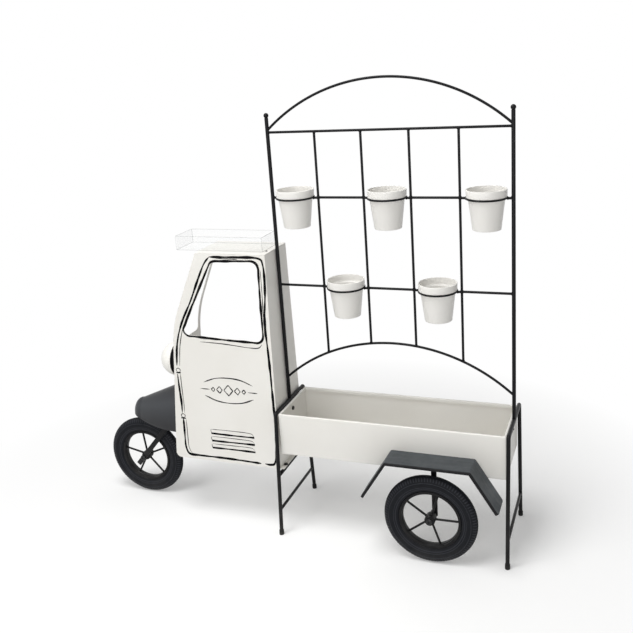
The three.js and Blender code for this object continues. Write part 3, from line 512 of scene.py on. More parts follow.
def blended(tree, factor, first, second):
    """Two colours mixed by a factor."""
    node = add(tree, "ShaderNodeMix", {"Factor": factor}, data_type="RGBA")
    for socket, colour in zip(MIX_COLOURS, (first, second)):
        feed(tree, node.inputs[socket], colour)
    return node.outputs[MIXED]


def grain_group():
    """Slow mottle between two colours, an uneven roughness, and a fine bump such as orange peel."""
    tree, given = new_group("surface_grain", [
        ("Colour", "colour", (0.5, 0.5, 0.5, 1)),
        ("Mottle Colour", "colour", (0.4, 0.4, 0.4, 1)),
        ("Mottle", "number", 0.5),
        ("Mottle Scale", "number", 9.0),
        ("Roughness", "number", 0.4),
        ("Roughness Spread", "number", 0.08),
        ("Grain Scale", "number", 700.0),
        ("Grain Height", "number", 0.00003),
    ], [("Colour", "colour"), ("Roughness", "number"), ("Normal", "vector")])
    where = location(tree)
    mottle = spread(tree, noise(tree, where, given["Mottle Scale"], 4), 0.35, 0.7)
    colour = blended(tree, calculate(tree, "MULTIPLY", mottle, given["Mottle"]), given["Colour"],
                     given["Mottle Colour"])
    uneven = spread(tree, noise(tree, where, 60, 3), 0.3, 0.7, -1, 1)
    roughness = calculate(tree, "MULTIPLY_ADD", uneven, given["Roughness Spread"], given["Roughness"])
    height = calculate(tree, "MULTIPLY", noise(tree, where, given["Grain Scale"], 1), given["Grain Height"])
    bump = add(tree, "ShaderNodeBump", {"Height": height, "Distance": 1.0})
    return give_out(tree, Colour=colour, Roughness=roughness, Normal=bump.outputs[0])


SURFACE_GRAIN = grain_group()
print("group:", SURFACE_GRAIN.name)

# %% [markdown]
# ## Dust
# A stand that is used outdoors gathers dust near the ground. The mask falls with the height and is broken up
# by noise into patches, and the dust is mixed over the colour that comes in.

# %% The dust group
def dust_group():
    """Dust that thins out with the height above the floor and gathers in patches."""
    tree, given = new_group("floor_dust", [
        ("Colour", "colour", (0.5, 0.5, 0.5, 1)),
        ("Dust Colour", "colour", (0.42, 0.40, 0.37, 1)),
        ("Amount", "number", 0.2),
        ("Reach", "number", 0.3),
    ], [("Colour", "colour"), ("Mask", "number")])
    where = location(tree)
    height = split(tree, where)["Z"]
    near = spread(tree, calculate(tree, "DIVIDE", height, given["Reach"]), 1, 0)
    patches = spread(tree, noise(tree, where, 25, 5), 0.3, 0.75)
    mask = calculate(tree, "MULTIPLY", calculate(tree, "MULTIPLY", near, patches), given["Amount"])
    colour = blended(tree, mask, given["Colour"], given["Dust Colour"])
    return give_out(tree, Colour=colour, Mask=mask)


FLOOR_DUST = dust_group()
print("group:", FLOOR_DUST.name)

# %% [markdown]
# ## Materials
# The Principled shader of each material gets its even values on its own sockets, and only what changes over
# the surface comes from the groups. Glossy blacks get a low specular level, because the white stage round the
# cart would turn them grey. Four finishes have something of their own: a painted sheen along the fender, a
# painted highlight on the tyres' ribs and ring lines, clear sheet with darker edges painted in for
# refraction, and the mudguard's streaked charcoal top against its black lip, as painted sheen against painted
# shade.

# %% Materials
def place_group(tree, group, inputs):
    """A group node in a material, its inputs fed by name."""
    node = tree.nodes.new("ShaderNodeGroup")
    node.node_tree = group
    for title, value in inputs.items():
        feed(tree, node.inputs[title], value)
    return node.outputs


GRAIN = ("Mottle", "Mottle Scale", "Roughness", "Roughness Spread", "Grain Scale", "Grain Height")


def coated(name, colour, mottle_colour, grain, dust=0.0, reach=0.3, **even):
    """A material with colour, roughness and bump from the grain group and dust near the floor. The numbers
    of grain are in the order of GRAIN, and the even values are set on the shader itself."""
    material = bpy.data.materials.new(name)
    material.use_nodes = True
    tree = material.node_tree
    shader = tree.nodes["Principled BSDF"]
    surface = place_group(tree, SURFACE_GRAIN, {
        "Colour": (*colour, 1),
        "Mottle Colour": (*mottle_colour, 1),
        **dict(zip(GRAIN, grain)),
    })
    shown = surface["Colour"]
    if dust:
        shown = place_group(tree, FLOOR_DUST, {"Colour": shown, "Amount": dust, "Reach": reach})["Colour"]
    feed(tree, shader.inputs["Base Color"], shown)
    feed(tree, shader.inputs["Roughness"], surface["Roughness"])
    feed(tree, shader.inputs["Normal"], surface["Normal"])
    for title, value in even.items():
        shader.inputs[title.replace("_", " ")].default_value = value
    return material


cream_paint = coated(
    "cream_paint", (0.80, 0.785, 0.745), (0.74, 0.72, 0.67),
    (0.55, 5.0, 0.42, 0.05, 450.0, 0.00002), dust=0.10, reach=0.5, IOR=1.5)
black_paint = coated(
    "black_paint", (0.004, 0.004, 0.005), (0.008, 0.008, 0.009),
    (0.6, 30.0, 0.34, 0.08, 1500.0, 0.000005), dust=0.06, reach=0.35, Specular_IOR_Level=0.14)
fender_paint = coated(
    "fender_paint", (0.010, 0.0105, 0.013), (0.015, 0.016, 0.019),
    (0.5, 14.0, 0.36, 0.05, 500.0, 0.00002), dust=0.05, reach=0.5, Specular_IOR_Level=0.32)
tyre_rubber = coated(
    "tyre_rubber", (0.0045, 0.0052, 0.0075), (0.008, 0.009, 0.012),
    (0.6, 35.0, 0.46, 0.09, 1600.0, 0.00005), dust=0.06, reach=0.10, Specular_IOR_Level=0.13)
foot_rubber = coated(
    "foot_rubber", (0.005, 0.005, 0.006), (0.012, 0.012, 0.012),
    (0.5, 60.0, 0.62, 0.08, 1400.0, 0.00005), dust=0.15, reach=0.02, Specular_IOR_Level=0.15)
pot_plastic = coated(
    "pot_plastic", (0.82, 0.805, 0.77), (0.78, 0.76, 0.72),
    (0.4, 12.0, 0.38, 0.05, 900.0, 0.00001), IOR=1.49)
lamp_white = coated(
    "lamp_white", (0.84, 0.825, 0.78), (0.80, 0.78, 0.73),
    (0.4, 10.0, 0.3, 0.04, 600.0, 0.00001), IOR=1.49)
bolt_steel = coated(
    "bolt_steel", (0.008, 0.008, 0.009), (0.020, 0.020, 0.020),
    (0.7, 90.0, 0.36, 0.1, 2200.0, 0.00002), Specular_IOR_Level=0.3)
door_ink = coated(
    "door_ink", (0.002, 0.002, 0.003), (0.012, 0.011, 0.010),
    (0.5, 45.0, 0.6, 0.08, 900.0, 0.00001), Specular_IOR_Level=0.05)


def recolour(material, mask, colour):
    """Mixes another colour into what already feeds the base colour of a material, by a mask."""
    tree = material.node_tree
    socket = tree.nodes["Principled BSDF"].inputs["Base Color"]
    feed(tree, socket, blended(tree, mask, socket.links[0].from_socket, (*colour, 1)))


def height_band(material, node, heights, levels):
    """1 between two shares of a height that grows along X, with soft limits."""
    tree = material.node_tree
    low, high = box(node)
    parts = split(tree, location(tree))
    crest = spread(tree, parts["X"], low[0], high[0], *heights)
    share = calculate(tree, "DIVIDE", calculate(tree, "SUBTRACT", parts["Z"], low[2]), crest)
    rising = spread(tree, share, levels[0], levels[1])
    falling = spread(tree, share, levels[2], levels[3], 1, 0)
    return calculate(tree, "MULTIPLY", rising, falling)


# Painted sheen: a lighter band along the middle of the fender's side, set by shares of its height.
FENDER_HEIGHTS = (0.078, 0.172)
SHEEN_LEVELS = (0.10, 0.55, 0.62, 0.98)
PAINTED_SHEEN, PAINTED_HIGHLIGHT_RUBBER = (0.040, 0.043, 0.048), (0.034, 0.036, 0.044)
recolour(fender_paint, height_band(fender_paint, "front_fender", FENDER_HEIGHTS, SHEEN_LEVELS), PAINTED_SHEEN)
# Painted highlight: the tyres' raised ring lines and rib tops are made lighter, as if they caught the light.
painted_highlight_mask = add(tyre_rubber.node_tree, "ShaderNodeAttribute", attribute_name="painted_highlight").outputs["Fac"]
recolour(tyre_rubber, painted_highlight_mask, PAINTED_HIGHLIGHT_RUBBER)


def edge_group():
    """1 along the edges of a box and 0 on its faces, from how near a point is to the box's limits."""
    tree, given = new_group("box_edges", [
        ("Middle", "vector", (0, 0, 0)),
        ("Half Size", "vector", (1, 1, 1)),
        ("Edge Width", "number", 0.003),
    ], [("Mask", "number")])
    kind = "ShaderNodeVectorMath"
    offset = add(tree, kind, {0: location(tree), 1: given["Middle"]}, operation="SUBTRACT").outputs[0]
    offset = add(tree, kind, {0: offset}, operation="ABSOLUTE").outputs[0]
    inside = add(tree, kind, {0: given["Half Size"], 1: offset}, operation="SUBTRACT").outputs[0]
    near = [spread(tree, part, 0, given["Edge Width"], 1, 0) for part in split(tree, inside)]
    upright = calculate(tree, "MULTIPLY", near[0], near[1])
    level = calculate(tree, "MULTIPLY", near[2], calculate(tree, "MAXIMUM", near[0], near[1]))
    return give_out(tree, Mask=calculate(tree, "MAXIMUM", upright, level))


BOX_EDGES = edge_group()


# Painted reflection and refraction: the clear sheet shows grey at a glancing view and darker grey on its cut
# edges.
FACE_ALPHA, GLANCING_ALPHA, EDGE_ALPHA = 0.035, 0.10, 0.55
ACRYLIC_FACE, ACRYLIC_EDGE = (0.8, 0.82, 0.81, 1), (0.30, 0.31, 0.31, 1)
ACRYLIC_ROUGHNESS = 0.12


def clear_acrylic(node):
    """Clear sheet: faces hardly there; cut edges and glancing faces in faint grey, painted refraction and
    reflection.
    """
    low, high = box(node)
    material = bpy.data.materials.new("clear_acrylic")
    material.use_nodes = True
    tree = material.node_tree
    shader = tree.nodes["Principled BSDF"]
    edges = place_group(tree, BOX_EDGES, {"Middle": (low + high) / 2, "Half Size": (high - low) / 2})["Mask"]
    glancing = add(tree, "ShaderNodeLayerWeight", {"Blend": 0.3}).outputs["Facing"]
    alpha = calculate(tree, "MULTIPLY_ADD", glancing, GLANCING_ALPHA, FACE_ALPHA)
    alpha = calculate(tree, "MULTIPLY_ADD", edges, EDGE_ALPHA, alpha)
    feed(tree, shader.inputs["Alpha"], alpha)
    feed(tree, shader.inputs["Base Color"], blended(tree, edges, ACRYLIC_FACE, ACRYLIC_EDGE))
    feed(tree, shader.inputs["Roughness"], ACRYLIC_ROUGHNESS)
    return material


tray_acrylic = clear_acrylic("roof_tray")


# The top's charcoal and the lip's black are painted sheen and painted shade on one sheet; the streaks are
# lighter lines on the top.
LIP_FADE = (2.2 * MM, 3.4 * MM)
SHADED_LIP_BLACK, LIGHTER_STREAK = (0.004, 0.004, 0.005, 1), (0.085, 0.093, 0.098, 1)
STREAK_STRETCH = (6, 140, 6)
STREAK_AMOUNT = 0.5


def guard_material(node):
    """A step on the distance from the outer edge: painted sheen on the charcoal top, painted shade on the
    black lip.
    """
    material = coated("guard_paint", (0.052, 0.058, 0.063), (0.072, 0.080, 0.085),
                      (0.8, 16.0, 0.5, 0.08, 1100.0, 0.00003), Specular_IOR_Level=0.2)
    tree = material.node_tree
    where = location(tree)
    edge = float(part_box(node)[0][1])
    top = spread(tree, split(tree, where)["Y"], *(edge + distance for distance in LIP_FADE))
    streaks = add(tree, "ShaderNodeMapping", {"Vector": where, "Scale": STREAK_STRETCH}).outputs[0]
    streak = spread(tree, noise(tree, streaks, 1.0, 3), 0.4, 0.7)
    streak = calculate(tree, "MULTIPLY", streak, STREAK_AMOUNT)
    colour = tree.nodes["Principled BSDF"].inputs["Base Color"]
    streaked_top = blended(tree, streak, colour.links[0].from_socket, LIGHTER_STREAK)
    # Painted shade on the folded lip, painted sheen on the streaked charcoal top.
    feed(tree, colour, blended(tree, top, SHADED_LIP_BLACK, streaked_top))
    return material


guard_paint = guard_material("rear_mudguard")
print("materials:", len(bpy.data.materials))

# %% [markdown]
# ## The floor
# One large flat sheet. Its own colour is a pale diffuse white, and a faint glow that only the camera sees
# lifts the unshaded part to white. Away from the cart it turns into the same white as the surround, by a mask
# on the distance from the cart's middle, so that no edge shows.

# %% The floor
FLOOR_HALF = 9.0
FLOOR_COLOUR = (0.85, 0.85, 0.845, 1)
FLOOR_GLOW = 0.17
FADE_FROM = 0.8
FADE_TO = 1.5


def floor_material():
    """Diffuse white plus a glow for the camera, mixed with plain white by the distance."""
    material = bpy.data.materials.new("pale_floor")
    tree = empty_tree(material)
    where = location(tree)
    distance = add(tree, "ShaderNodeVectorMath", {0: where}, operation="LENGTH").outputs["Value"]
    away = spread(tree, distance, FADE_FROM, FADE_TO)
    fade = calculate(tree, "MULTIPLY", away, seen_directly(tree))
    pale = add(tree, "ShaderNodeBsdfDiffuse", {"Color": FLOOR_COLOUR})
    glow_strength = calculate(tree, "MULTIPLY", seen_directly(tree), FLOOR_GLOW)
    glow = add(tree, "ShaderNodeEmission", {"Color": (1, 1, 1, 1), "Strength": glow_strength})
    lifted = add(tree, "ShaderNodeAddShader", {0: pale.outputs[0], 1: glow.outputs[0]})
    white = add(tree, "ShaderNodeEmission", {"Color": (1, 1, 1, 1), "Strength": 1.0})
    mixed = add(tree, "ShaderNodeMixShader", {0: fade, 1: lifted.outputs[0], 2: white.outputs[0]})
    add(tree, "ShaderNodeOutputMaterial", {"Surface": mixed.outputs[0]})
    return material


def pale_floor():
    """One square in the plane of the floor."""
    corners = FLOOR_HALF * np.array([(-1, -1, 0), (1, -1, 0), (1, 1, 0), (-1, 1, 0)])
    mesh = bpy.data.meshes.new("floor")
    mesh.from_pydata(corners, [], [(0, 1, 2, 3)])
    mesh.materials.append(floor_material())
    placed("floor", mesh)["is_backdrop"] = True


pale_floor()
print("floor fades from", FADE_FROM, "to", FADE_TO, "m")

# %% [markdown]
# ## Places
# The planter's box gives the origin that the drawing of the cart uses: its left end and the middle of its
# depth. A point of the drawing, in millimetres, becomes a point of the frame in metres.

# %% Places
planter_low, planter_high = box("planter_box")
ORIGIN = np.array([planter_low[0], (planter_low[1] + planter_high[1]) / 2, 0])
X_AXIS, Y_AXIS, Z_AXIS = np.eye(3)


def at(x, y, z):
    """A point of the drawing: millimetres from the planter's left end, its middle and the floor."""
    return ORIGIN + np.array([x, y, z]) * MM


print("origin of the drawing", np.round(ORIGIN, 4))

# %% [markdown]
# ## Leg frames
# Each frame is one steel tube, bent at the two top corners, with a thinner bar welded across near the floor.
# A straight polyline with an arc at each corner gives the bend. A small upright lug on each frame takes the
# planter's bolt. The bearer bar of the cab has the same tube.

# %% Leg frames
LEG_TUBE = 13 * MM
LEG_TOP_SPREAD = 242 * MM
BEND_RADIUS = 8 * MM
LOW_BAR = 10 * MM
LEG_FOOT_GAP = 5.5 * MM
LUG_WIDTH, LUG_THICKNESS, LUG_CORNER = 16 * MM, 3 * MM, 1 * MM
LUG_BELOW, LUG_ABOVE, LUG_INWARD = 8 * MM, 32 * MM, 5 * MM
SIDES = ("left", "right")


def leg_frame(side):
    """The corners of the bent tube and its surface. Each leg ends a little above the floor, in its foot."""
    x = middle_of(f"trellis_post_{side}")[0]
    feet = [middle_of(f"foot_{side}_{place}") for place in ("show", "back")]
    bar_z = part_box(f"leg_frame_{side}")[1][2] - LEG_TUBE / 2
    tops = [ORIGIN + (0, way * LEG_TOP_SPREAD / 2, bar_z) for way in (-1, 1)]
    corners = np.array([feet[0], tops[0], tops[1], feet[1]])
    corners[:, 0] = x
    direction = (corners[[0, 3]] - corners[[1, 2]]) / (corners[[1, 2], 2] - corners[[0, 3], 2])[:, None]
    corners[[0, 3]] += direction * (corners[[0, 3], 2] - LEG_FOOT_GAP)[:, None]
    path = bent(corners, BEND_RADIUS, 10)
    return corners, skin(carried(path, circle(LEG_TUBE / 2), X_AXIS))


def leg_at(corners, way, z):
    """The point of a leg's axis at a height: a share of the way from its foot to its top."""
    foot, top = (corners[0], corners[1]) if way < 0 else (corners[3], corners[2])
    return foot + (top - foot) * (z - foot[2]) / (top[2] - foot[2])


for side in SIDES:
    corners, surface = leg_frame(side)
    lug = f"planter_bolt_{side}"
    bar_z = middle_of(f"leg_low_bar_{side}")[2]
    inward = 1 if side == "left" else -1
    lug_middle = middle_of(lug) * (0, 1, 1) + X_AXIS * (corners[0, 0] + inward * LUG_INWARD)
    plate = carried([lug_middle - Z_AXIS * LUG_BELOW, lug_middle + Z_AXIS * LUG_ABOVE],
                    rounded_bar(LUG_THICKNESS, LUG_WIDTH, LUG_CORNER), X_AXIS)
    piece(f"leg_tube_{side}", [surface, skin(plate)], black_paint, [f"leg_frame_{side}"])
    low_bar = tube(leg_at(corners, -1, bar_z), leg_at(corners, 1, bar_z), LOW_BAR / 2, X_AXIS)
    piece(f"low_bar_{side}", [low_bar], black_paint, [f"leg_low_bar_{side}"])
    if side == "left":
        bar_z = middle_of("cab_bearer_bar")[2]
        bearer = tube(leg_at(corners, -1, bar_z), leg_at(corners, 1, bar_z), LEG_TUBE / 2, X_AXIS)
        piece("cab_bearer_tube", [bearer], black_paint, ["cab_bearer_bar"])

# %% [markdown]
# ## Feet
# A rubber cap is pushed over the end of each leg. It leans with the leg and stands flat on the floor, so its
# rings are level circles whose middles follow the leg, with three shallow grooves near the top.

# %% Feet
FOOT_GROOVE = 0.35 * MM
GROOVES_TO_HEIGHT, GROOVE_LEVEL, GROOVES_FROM, GROOVES_TO = 6, 0.6, 0.45, 0.92
FOOT_EASE = 1.2 * MM
FOOT_FULLNESS = 0.955
LEG_LEAN = (155 - 121) / 432


def foot(node):
    """Level rings: radius R less a groove, at heights from the floor to the rim, sheared along the leg."""
    (low, high), centre = box(node), middle_of(node)
    way = -1 if centre[1] < ORIGIN[1] else 1
    radius = (high[0] - low[0]) / 2
    rise = np.linspace(0, 1, 40)
    height = high[2] * rise
    shift = (high[2] / 2 - height) * way * LEG_LEAN
    edge = np.minimum(height, high[2] - height)
    eased = np.sqrt(np.maximum(0, 1 - (1 - np.minimum(edge / FOOT_EASE, 1)) ** 2))
    waves = np.cos(rise * 2 * math.pi * GROOVES_TO_HEIGHT) > GROOVE_LEVEL
    groove = FOOT_GROOVE * waves * (rise > GROOVES_FROM) * (rise < GROOVES_TO)
    reach = radius * FOOT_FULLNESS - (1 - eased) * FOOT_EASE - groove
    disc = circle(1)
    rings = np.zeros((len(rise), len(disc), 3))
    rings[..., 0] = centre[0] + reach[:, None] * disc[:, 0]
    rings[..., 1] = centre[1] + shift[:, None] + reach[:, None] * disc[:, 1]
    rings[..., 2] = height[:, None]
    return skin(rings)


for side in SIDES:
    for place in ("show", "back"):
        node = f"foot_{side}_{place}"
        piece(f"rubber_{node}", [foot(node)], foot_rubber, [node])

# %% [markdown]
# ## The trellis
# Posts, uprights, rails and two arches, all of round bar. Each post is a turned shape with a ball on top, as
# a lathe would make it. The arches are parts of a circle: the span between the posts and the rise give its
# radius.

# %% Trellis rods
POST_RADIUS = 6 * MM
ROD_RADIUS = 4 * MM
FINIAL_RADIUS, NECK_RADIUS = 8 * MM, 4.8 * MM
POST_SUNK = 3 * MM
ARCH_RISE = 147 * MM
ARCH_STEPS = 120
BAYS = 5
post_x = {side: middle_of(f"trellis_post_{side}")[0] for side in SIDES}
line_x = [post_x["left"], *(middle_of(f"trellis_upright_{k}")[0] for k in range(1, BAYS)), post_x["right"]]
trellis_y = ORIGIN[1]


def on_trellis(x, z):
    """Points in the plane of the trellis."""
    return np.stack(np.broadcast_arrays(x, trellis_y, z), -1)


def post(side):
    """A shaft with a ball on top. The ball's profile is an arc that starts where it meets the shaft."""
    low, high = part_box(f"trellis_post_{side}")
    neck = math.acos(NECK_RADIUS / FINIAL_RADIUS)
    turn = np.linspace(-neck, math.pi / 2, 24)
    ball_z = high[2] - FINIAL_RADIUS
    ball = np.stack([FINIAL_RADIUS * np.cos(turn), ball_z + FINIAL_RADIUS * np.sin(turn)], -1)
    ball[-1, 0] = 0
    foot_z, neck_z = low[2] - POST_SUNK, ball[0, 1]
    shaft = [(0, foot_z), (POST_RADIUS, foot_z), (POST_RADIUS, neck_z - 2 * MM),
             (POST_RADIUS * 0.93, neck_z - 0.6 * MM)]
    profile = np.vstack([shaft, ball])
    return turned(profile, ORIGIN * (0, 1, 0) + X_AXIS * post_x[side], Z_AXIS, 48)


def arch_path(node):
    """x = middle + R sin a, z = top - R (1 - cos a), with R from the half span and the rise."""
    half = (line_x[-1] - line_x[0]) / 2
    radius = (half ** 2 + ARCH_RISE ** 2) / (2 * ARCH_RISE)
    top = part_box(node)[1][2] - ROD_RADIUS
    turn = np.linspace(-1, 1, ARCH_STEPS) * math.asin(half / radius)
    return on_trellis(line_x[0] + half + radius * np.sin(turn), top - radius * (1 - np.cos(turn)))


for side in SIDES:
    piece(f"post_{side}", [post(side)], black_paint, [f"trellis_post_{side}"])
arches = {level: arch_path(f"trellis_{level}_arch") for level in ("top", "low")}
for level, path in arches.items():
    rod = skin(carried(path, circle(ROD_RADIUS), Y_AXIS))
    piece(f"{level}_arch_rod", [rod], black_paint, [f"trellis_{level}_arch"])

# %% [markdown]
# ## Rails and uprights
# Four uprights stand between the low arch and the top rail, and short rails run from rod to rod in the bays
# that hold no pot. Each is a straight rod with eased ends. Their ends are noted down for the welds.

# %% Rails and uprights
welds = []
top_rail_z = middle_of("trellis_top_rail")[2]
row_z = {row: middle_of(f"trellis_{row}_rail_{bay}")[2] for row, bay in (("upper", 2), ("middle", 1))}


def rod_between(start, end):
    """A straight rod of the trellis."""
    return tube(start, end, ROD_RADIUS, Y_AXIS)


top_rail = rod_between(on_trellis(line_x[0], top_rail_z), on_trellis(line_x[-1], top_rail_z))
piece("top_rail_rod", [top_rail], black_paint, ["trellis_top_rail"])
for k in range(1, BAYS):
    arch_z = float(np.interp(line_x[k], arches["low"][:, 0], arches["low"][:, 2]))
    rod = rod_between(on_trellis(line_x[k], arch_z), on_trellis(line_x[k], top_rail_z))
    piece(f"upright_rod_{k}", [rod], black_paint, [f"trellis_upright_{k}"])
    welds.append((on_trellis(line_x[k], top_rail_z), -Z_AXIS, X_AXIS, ROD_RADIUS))
    welds.append((on_trellis(line_x[k], arch_z), Z_AXIS, X_AXIS, ROD_RADIUS))
for row, first in (("upper", 1), ("middle", 0)):
    for bay in range(first, BAYS, 2):
        ends = on_trellis(np.array(line_x[bay:bay + 2]), row_z[row])
        rod = rod_between(*ends)
        node = f"trellis_{row}_rail_{bay + 1}"
        piece(f"{row}_rail_rod_{bay + 1}", [rod], black_paint, [node])
print("rails and uprights:", BAYS - 1, "uprights,", "rows at", np.round(list(row_z.values()), 3), "m")

# %% [markdown]
# ## Pot rings
# A ring is a round wire bent into a circle, with a short stub on each side that is welded to the rods beside
# it. The pot hangs in it by its rim. The ring is a torus: a small circle carried round a large one.

# %% Pot rings
RING_WIRE = 3 * MM
rings = [("upper", bay) for bay in (1, 3, 5)] + [("middle", bay) for bay in (2, 4)]


def wire_ring(centre, radius):
    """The torus: centre + (R + r cos b) (cos a, sin a, 0) + r sin b along Z."""
    section = circle(RING_WIRE, 16)
    profile = section + (radius, 0)
    return turned(profile, centre, Z_AXIS, 96, loop=True)


for row, bay in rings:
    node = f"pot_ring_{row}_{bay}"
    low, high = box(node)
    radius = (high[1] - low[1]) / 2 - RING_WIRE
    centre = on_trellis((line_x[bay - 1] + line_x[bay]) / 2, high[2] - RING_WIRE)
    stub_z = centre[2] - ROD_RADIUS + RING_WIRE
    stubs = [rod_between(on_trellis(centre[0] + way * (radius - 1 * MM), stub_z), on_trellis(end, stub_z))
             for way, end in ((-1, line_x[bay - 1]), (1, line_x[bay]))]
    piece(f"ring_wire_{row}_{bay}", [wire_ring(centre, radius), *stubs], black_paint, [node])
    for way in (-1, 1):
        welds.append((on_trellis(centre[0] + way * radius, stub_z), X_AXIS * way, Z_AXIS, RING_WIRE))
for row in row_z:
    for line, x in enumerate(line_x):
        host = POST_RADIUS if line in (0, BAYS) else ROD_RADIUS
        for way in ((1,) if line == 0 else (-1,) if line == BAYS else (-1, 1)):
            welds.append((on_trellis(x, row_z[row]), X_AXIS * way, Z_AXIS, host))
for way, x in ((1, line_x[0]), (-1, line_x[-1])):
    welds.append((on_trellis(x, top_rail_z), X_AXIS * way, Z_AXIS, POST_RADIUS))

# %% [markdown]
# ## Welds
# Where a rod's end meets its neighbour the welder leaves a small lumpy bead. It follows the saddle line where
# the two round bars touch, so it is a thin tube carried round that line, its radius slowly waving.

# %% Welds
BEAD = 1.3 * MM
LUMPS, LUMPINESS, LUMP_SHIFT = 5, 0.18, 900


def weld(centre, way, host_axis, host_radius):
    """A bead round a rod's end. At the angle a round it, the host is sqrt(R^2 - (r sin a)^2) out."""
    beside = np.cross(way, host_axis)
    turn = angles(24)[:, None]
    across = ROD_RADIUS * np.sin(turn)
    out = np.sqrt(np.maximum(host_radius ** 2 - across ** 2, (0.3 * host_radius) ** 2))
    spine = centre + out * way + across * beside + ROD_RADIUS * np.cos(turn) * host_axis
    radial = np.sin(turn) * beside + np.cos(turn) * host_axis
    lumps = BEAD * (1 + LUMPINESS * np.sin(LUMPS * turn + centre[0] * LUMP_SHIFT))
    small = angles(10)[None, :, None]
    bead = np.cos(small) * radial[:, None] + np.sin(small) * np.asarray(way)
    return skin(spine[:, None] + lumps[:, None] * bead, loop=True)


piece("trellis_welds", [weld(*joint) for joint in welds], black_paint, [], crease=60)

# %% [markdown]
# ## The planter
# The planter is a trough of sheet metal. The sheet is bent up at the sides and folded over at the rim, which
# makes the rim stiff and safe to touch. Its profile runs from the outside of the floor, up, over the folded
# rim and down to the inside of the floor, and is carried round a rectangle with round corners.

# %% Troughs
CORNER_STEPS = 8


def rectangle_ring(low, high, inset, z, radius):
    """A level rectangle with round corners, drawn in from the box by an inset."""
    x0, y0 = low[:2] + inset
    x1, y1 = high[:2] - inset
    radius = max(radius - inset, 0.3 * MM)
    ring = bent([(x0, y0), (x1, y0), (x1, y1), (x0, y1)], radius, CORNER_STEPS, closed=True)
    return np.column_stack([ring, np.full(len(ring), z)])


def trough(low, high, profile, radius):
    """Rings of a profile of (inset, height) round the box, closed over the floor below and inside."""
    return skin(np.stack([rectangle_ring(low, high, inset, z, radius) for inset, z in profile]))


# %% The planter
SHEET = 1.6 * MM
HEM_WIDTH = 8 * MM
HEM_DROP = 12 * MM
PLANTER_CORNER = 4 * MM


def planter_profile():
    """(inset, height), the bends drawn as small arcs: outside, rolled rim, hem, inside."""
    bottom, rim = planter_low[2], planter_high[2]
    outside = bent([(30 * MM, bottom), (0, bottom), (0, rim - 20 * MM)], 3 * MM, 5)
    corners = [(0, rim - 12 * MM), (0, rim), (HEM_WIDTH, rim), (HEM_WIDTH, rim - HEM_DROP),
               (SHEET, rim - HEM_DROP), (SHEET, rim - HEM_DROP - 20 * MM)]
    roll = bent(corners, np.array([1, 3.2, 3.2, 0.8, 0.5, 1]) * MM, 5)
    inside = bent([(SHEET, rim - 60 * MM), (SHEET, bottom + SHEET), (30 * MM, bottom + SHEET)], 2 * MM, 5)
    return np.vstack([outside, roll, inside])


planter = trough(planter_low, planter_high, planter_profile(), PLANTER_CORNER)
piece("planter_trough", [planter], cream_paint, ["planter_box"])

# %% [markdown]
# ## Pots
# A pot is a turned shape: a tapered cup with a band round its mouth that rests on the ring. Its profile has
# the small radii that a moulded pot has, a foot rim under the floor and a fine line under the band.

# %% Pots
POT_WALL = 2.2 * MM
POT_BASE_RADIUS = 42.5 * MM
POT_BAND = 23 * MM


def pot_profile(low, high):
    """(radius, height) from the middle of the underside, up outside, over the mouth and down inside."""
    bottom, top = low[2], high[2]
    rim = (high[1] - low[1]) / 2
    band = top - POT_BAND
    body = rim - 6 * MM
    outline = [(0, bottom + 1.5 * MM), (POT_BASE_RADIUS - 5 * MM, bottom + 1.5 * MM),
               (POT_BASE_RADIUS - 4 * MM, bottom), (POT_BASE_RADIUS, bottom),
               (body, band), (rim - 1 * MM, band), (rim, top), (rim - POT_WALL - 1.2 * MM, top),
               (rim - POT_WALL - 2 * MM, band + 2 * MM), (body - POT_WALL, band - 3 * MM),
               (POT_BASE_RADIUS - POT_WALL, bottom + POT_WALL + 1 * MM), (0, bottom + POT_WALL + 1 * MM)]
    radii = np.array([1, 0.5, 0.8, 2, 0.4, 0.9, 1.2, 1.2, 1.5, 1.5, 4, 1]) * MM
    return bent(outline, radii, 5)


for row, bay in rings:
    node = f"pot_{row}_{bay}"
    low, high = box(node)
    cup = turned(pot_profile(low, high), middle_of(node) * (1, 1, 0), Z_AXIS, 96)
    piece(f"plant_{node}", [cup], pot_plastic, [node], body=f"{node}_body")

# %% [markdown]
# ## Wheels
# A tyre is a turned ring. Its section comes from a few points of the flank, joined by a smooth curve. Two
# things change round the wheel or up the flank: raised ring lines on the side wall, and a row of fine ribs on
# the shoulder. Both are added to the array of points as functions of the height and of the angle.

# %% Tyres
TYRE_RADIUS = 150 * MM
TYRE_WIDTH = 36 * MM
BEAD_RADIUS = 100 * MM
TYRE_FLANK = [(0, 0.30), (0.04, 0.36), (0.16, 0.42), (0.32, 0.475), (0.48, 0.5), (0.64, 0.485),
              (0.78, 0.44), (0.90, 0.34), (0.97, 0.2), (1, 0.06)]
RING_LINES = [(0.20, 1.0 * MM, 0.020), (0.32, 0.7 * MM, 0.014), (0.62, 1.1 * MM, 0.014)]
SHOULDER_RIBS = 96
RIB_DEPTH, RIB_LEAN, RIB_STEEPNESS = 1.3 * MM, 0.6, 1.6
RIB_BAND, PAINTED_HIGHLIGHT_BAND = (0.66, 0.97, 0.08, 0.05), (0.70, 0.96, 0.06, 0.05)
GROOVE_PLACE, GROOVE_WIDTH, GROOVE_DEPTH = 0.13, 0.07, 1.2 * MM
SIDE_CLEARANCE = 0.9 * MM
# Spread and strength of the painted highlight on the ring lines and rib tops.
PAINTED_HIGHLIGHT_SPREAD, PAINTED_HIGHLIGHT_AMOUNT = 1.3, 0.8
AROUND = 576


def band(up, start, end, rise, fall):
    """1 between two shares of the flank's height, with a fade at each side."""
    return np.clip((up - start) / rise, 0, 1) * np.clip((end - up) / fall, 0, 1)


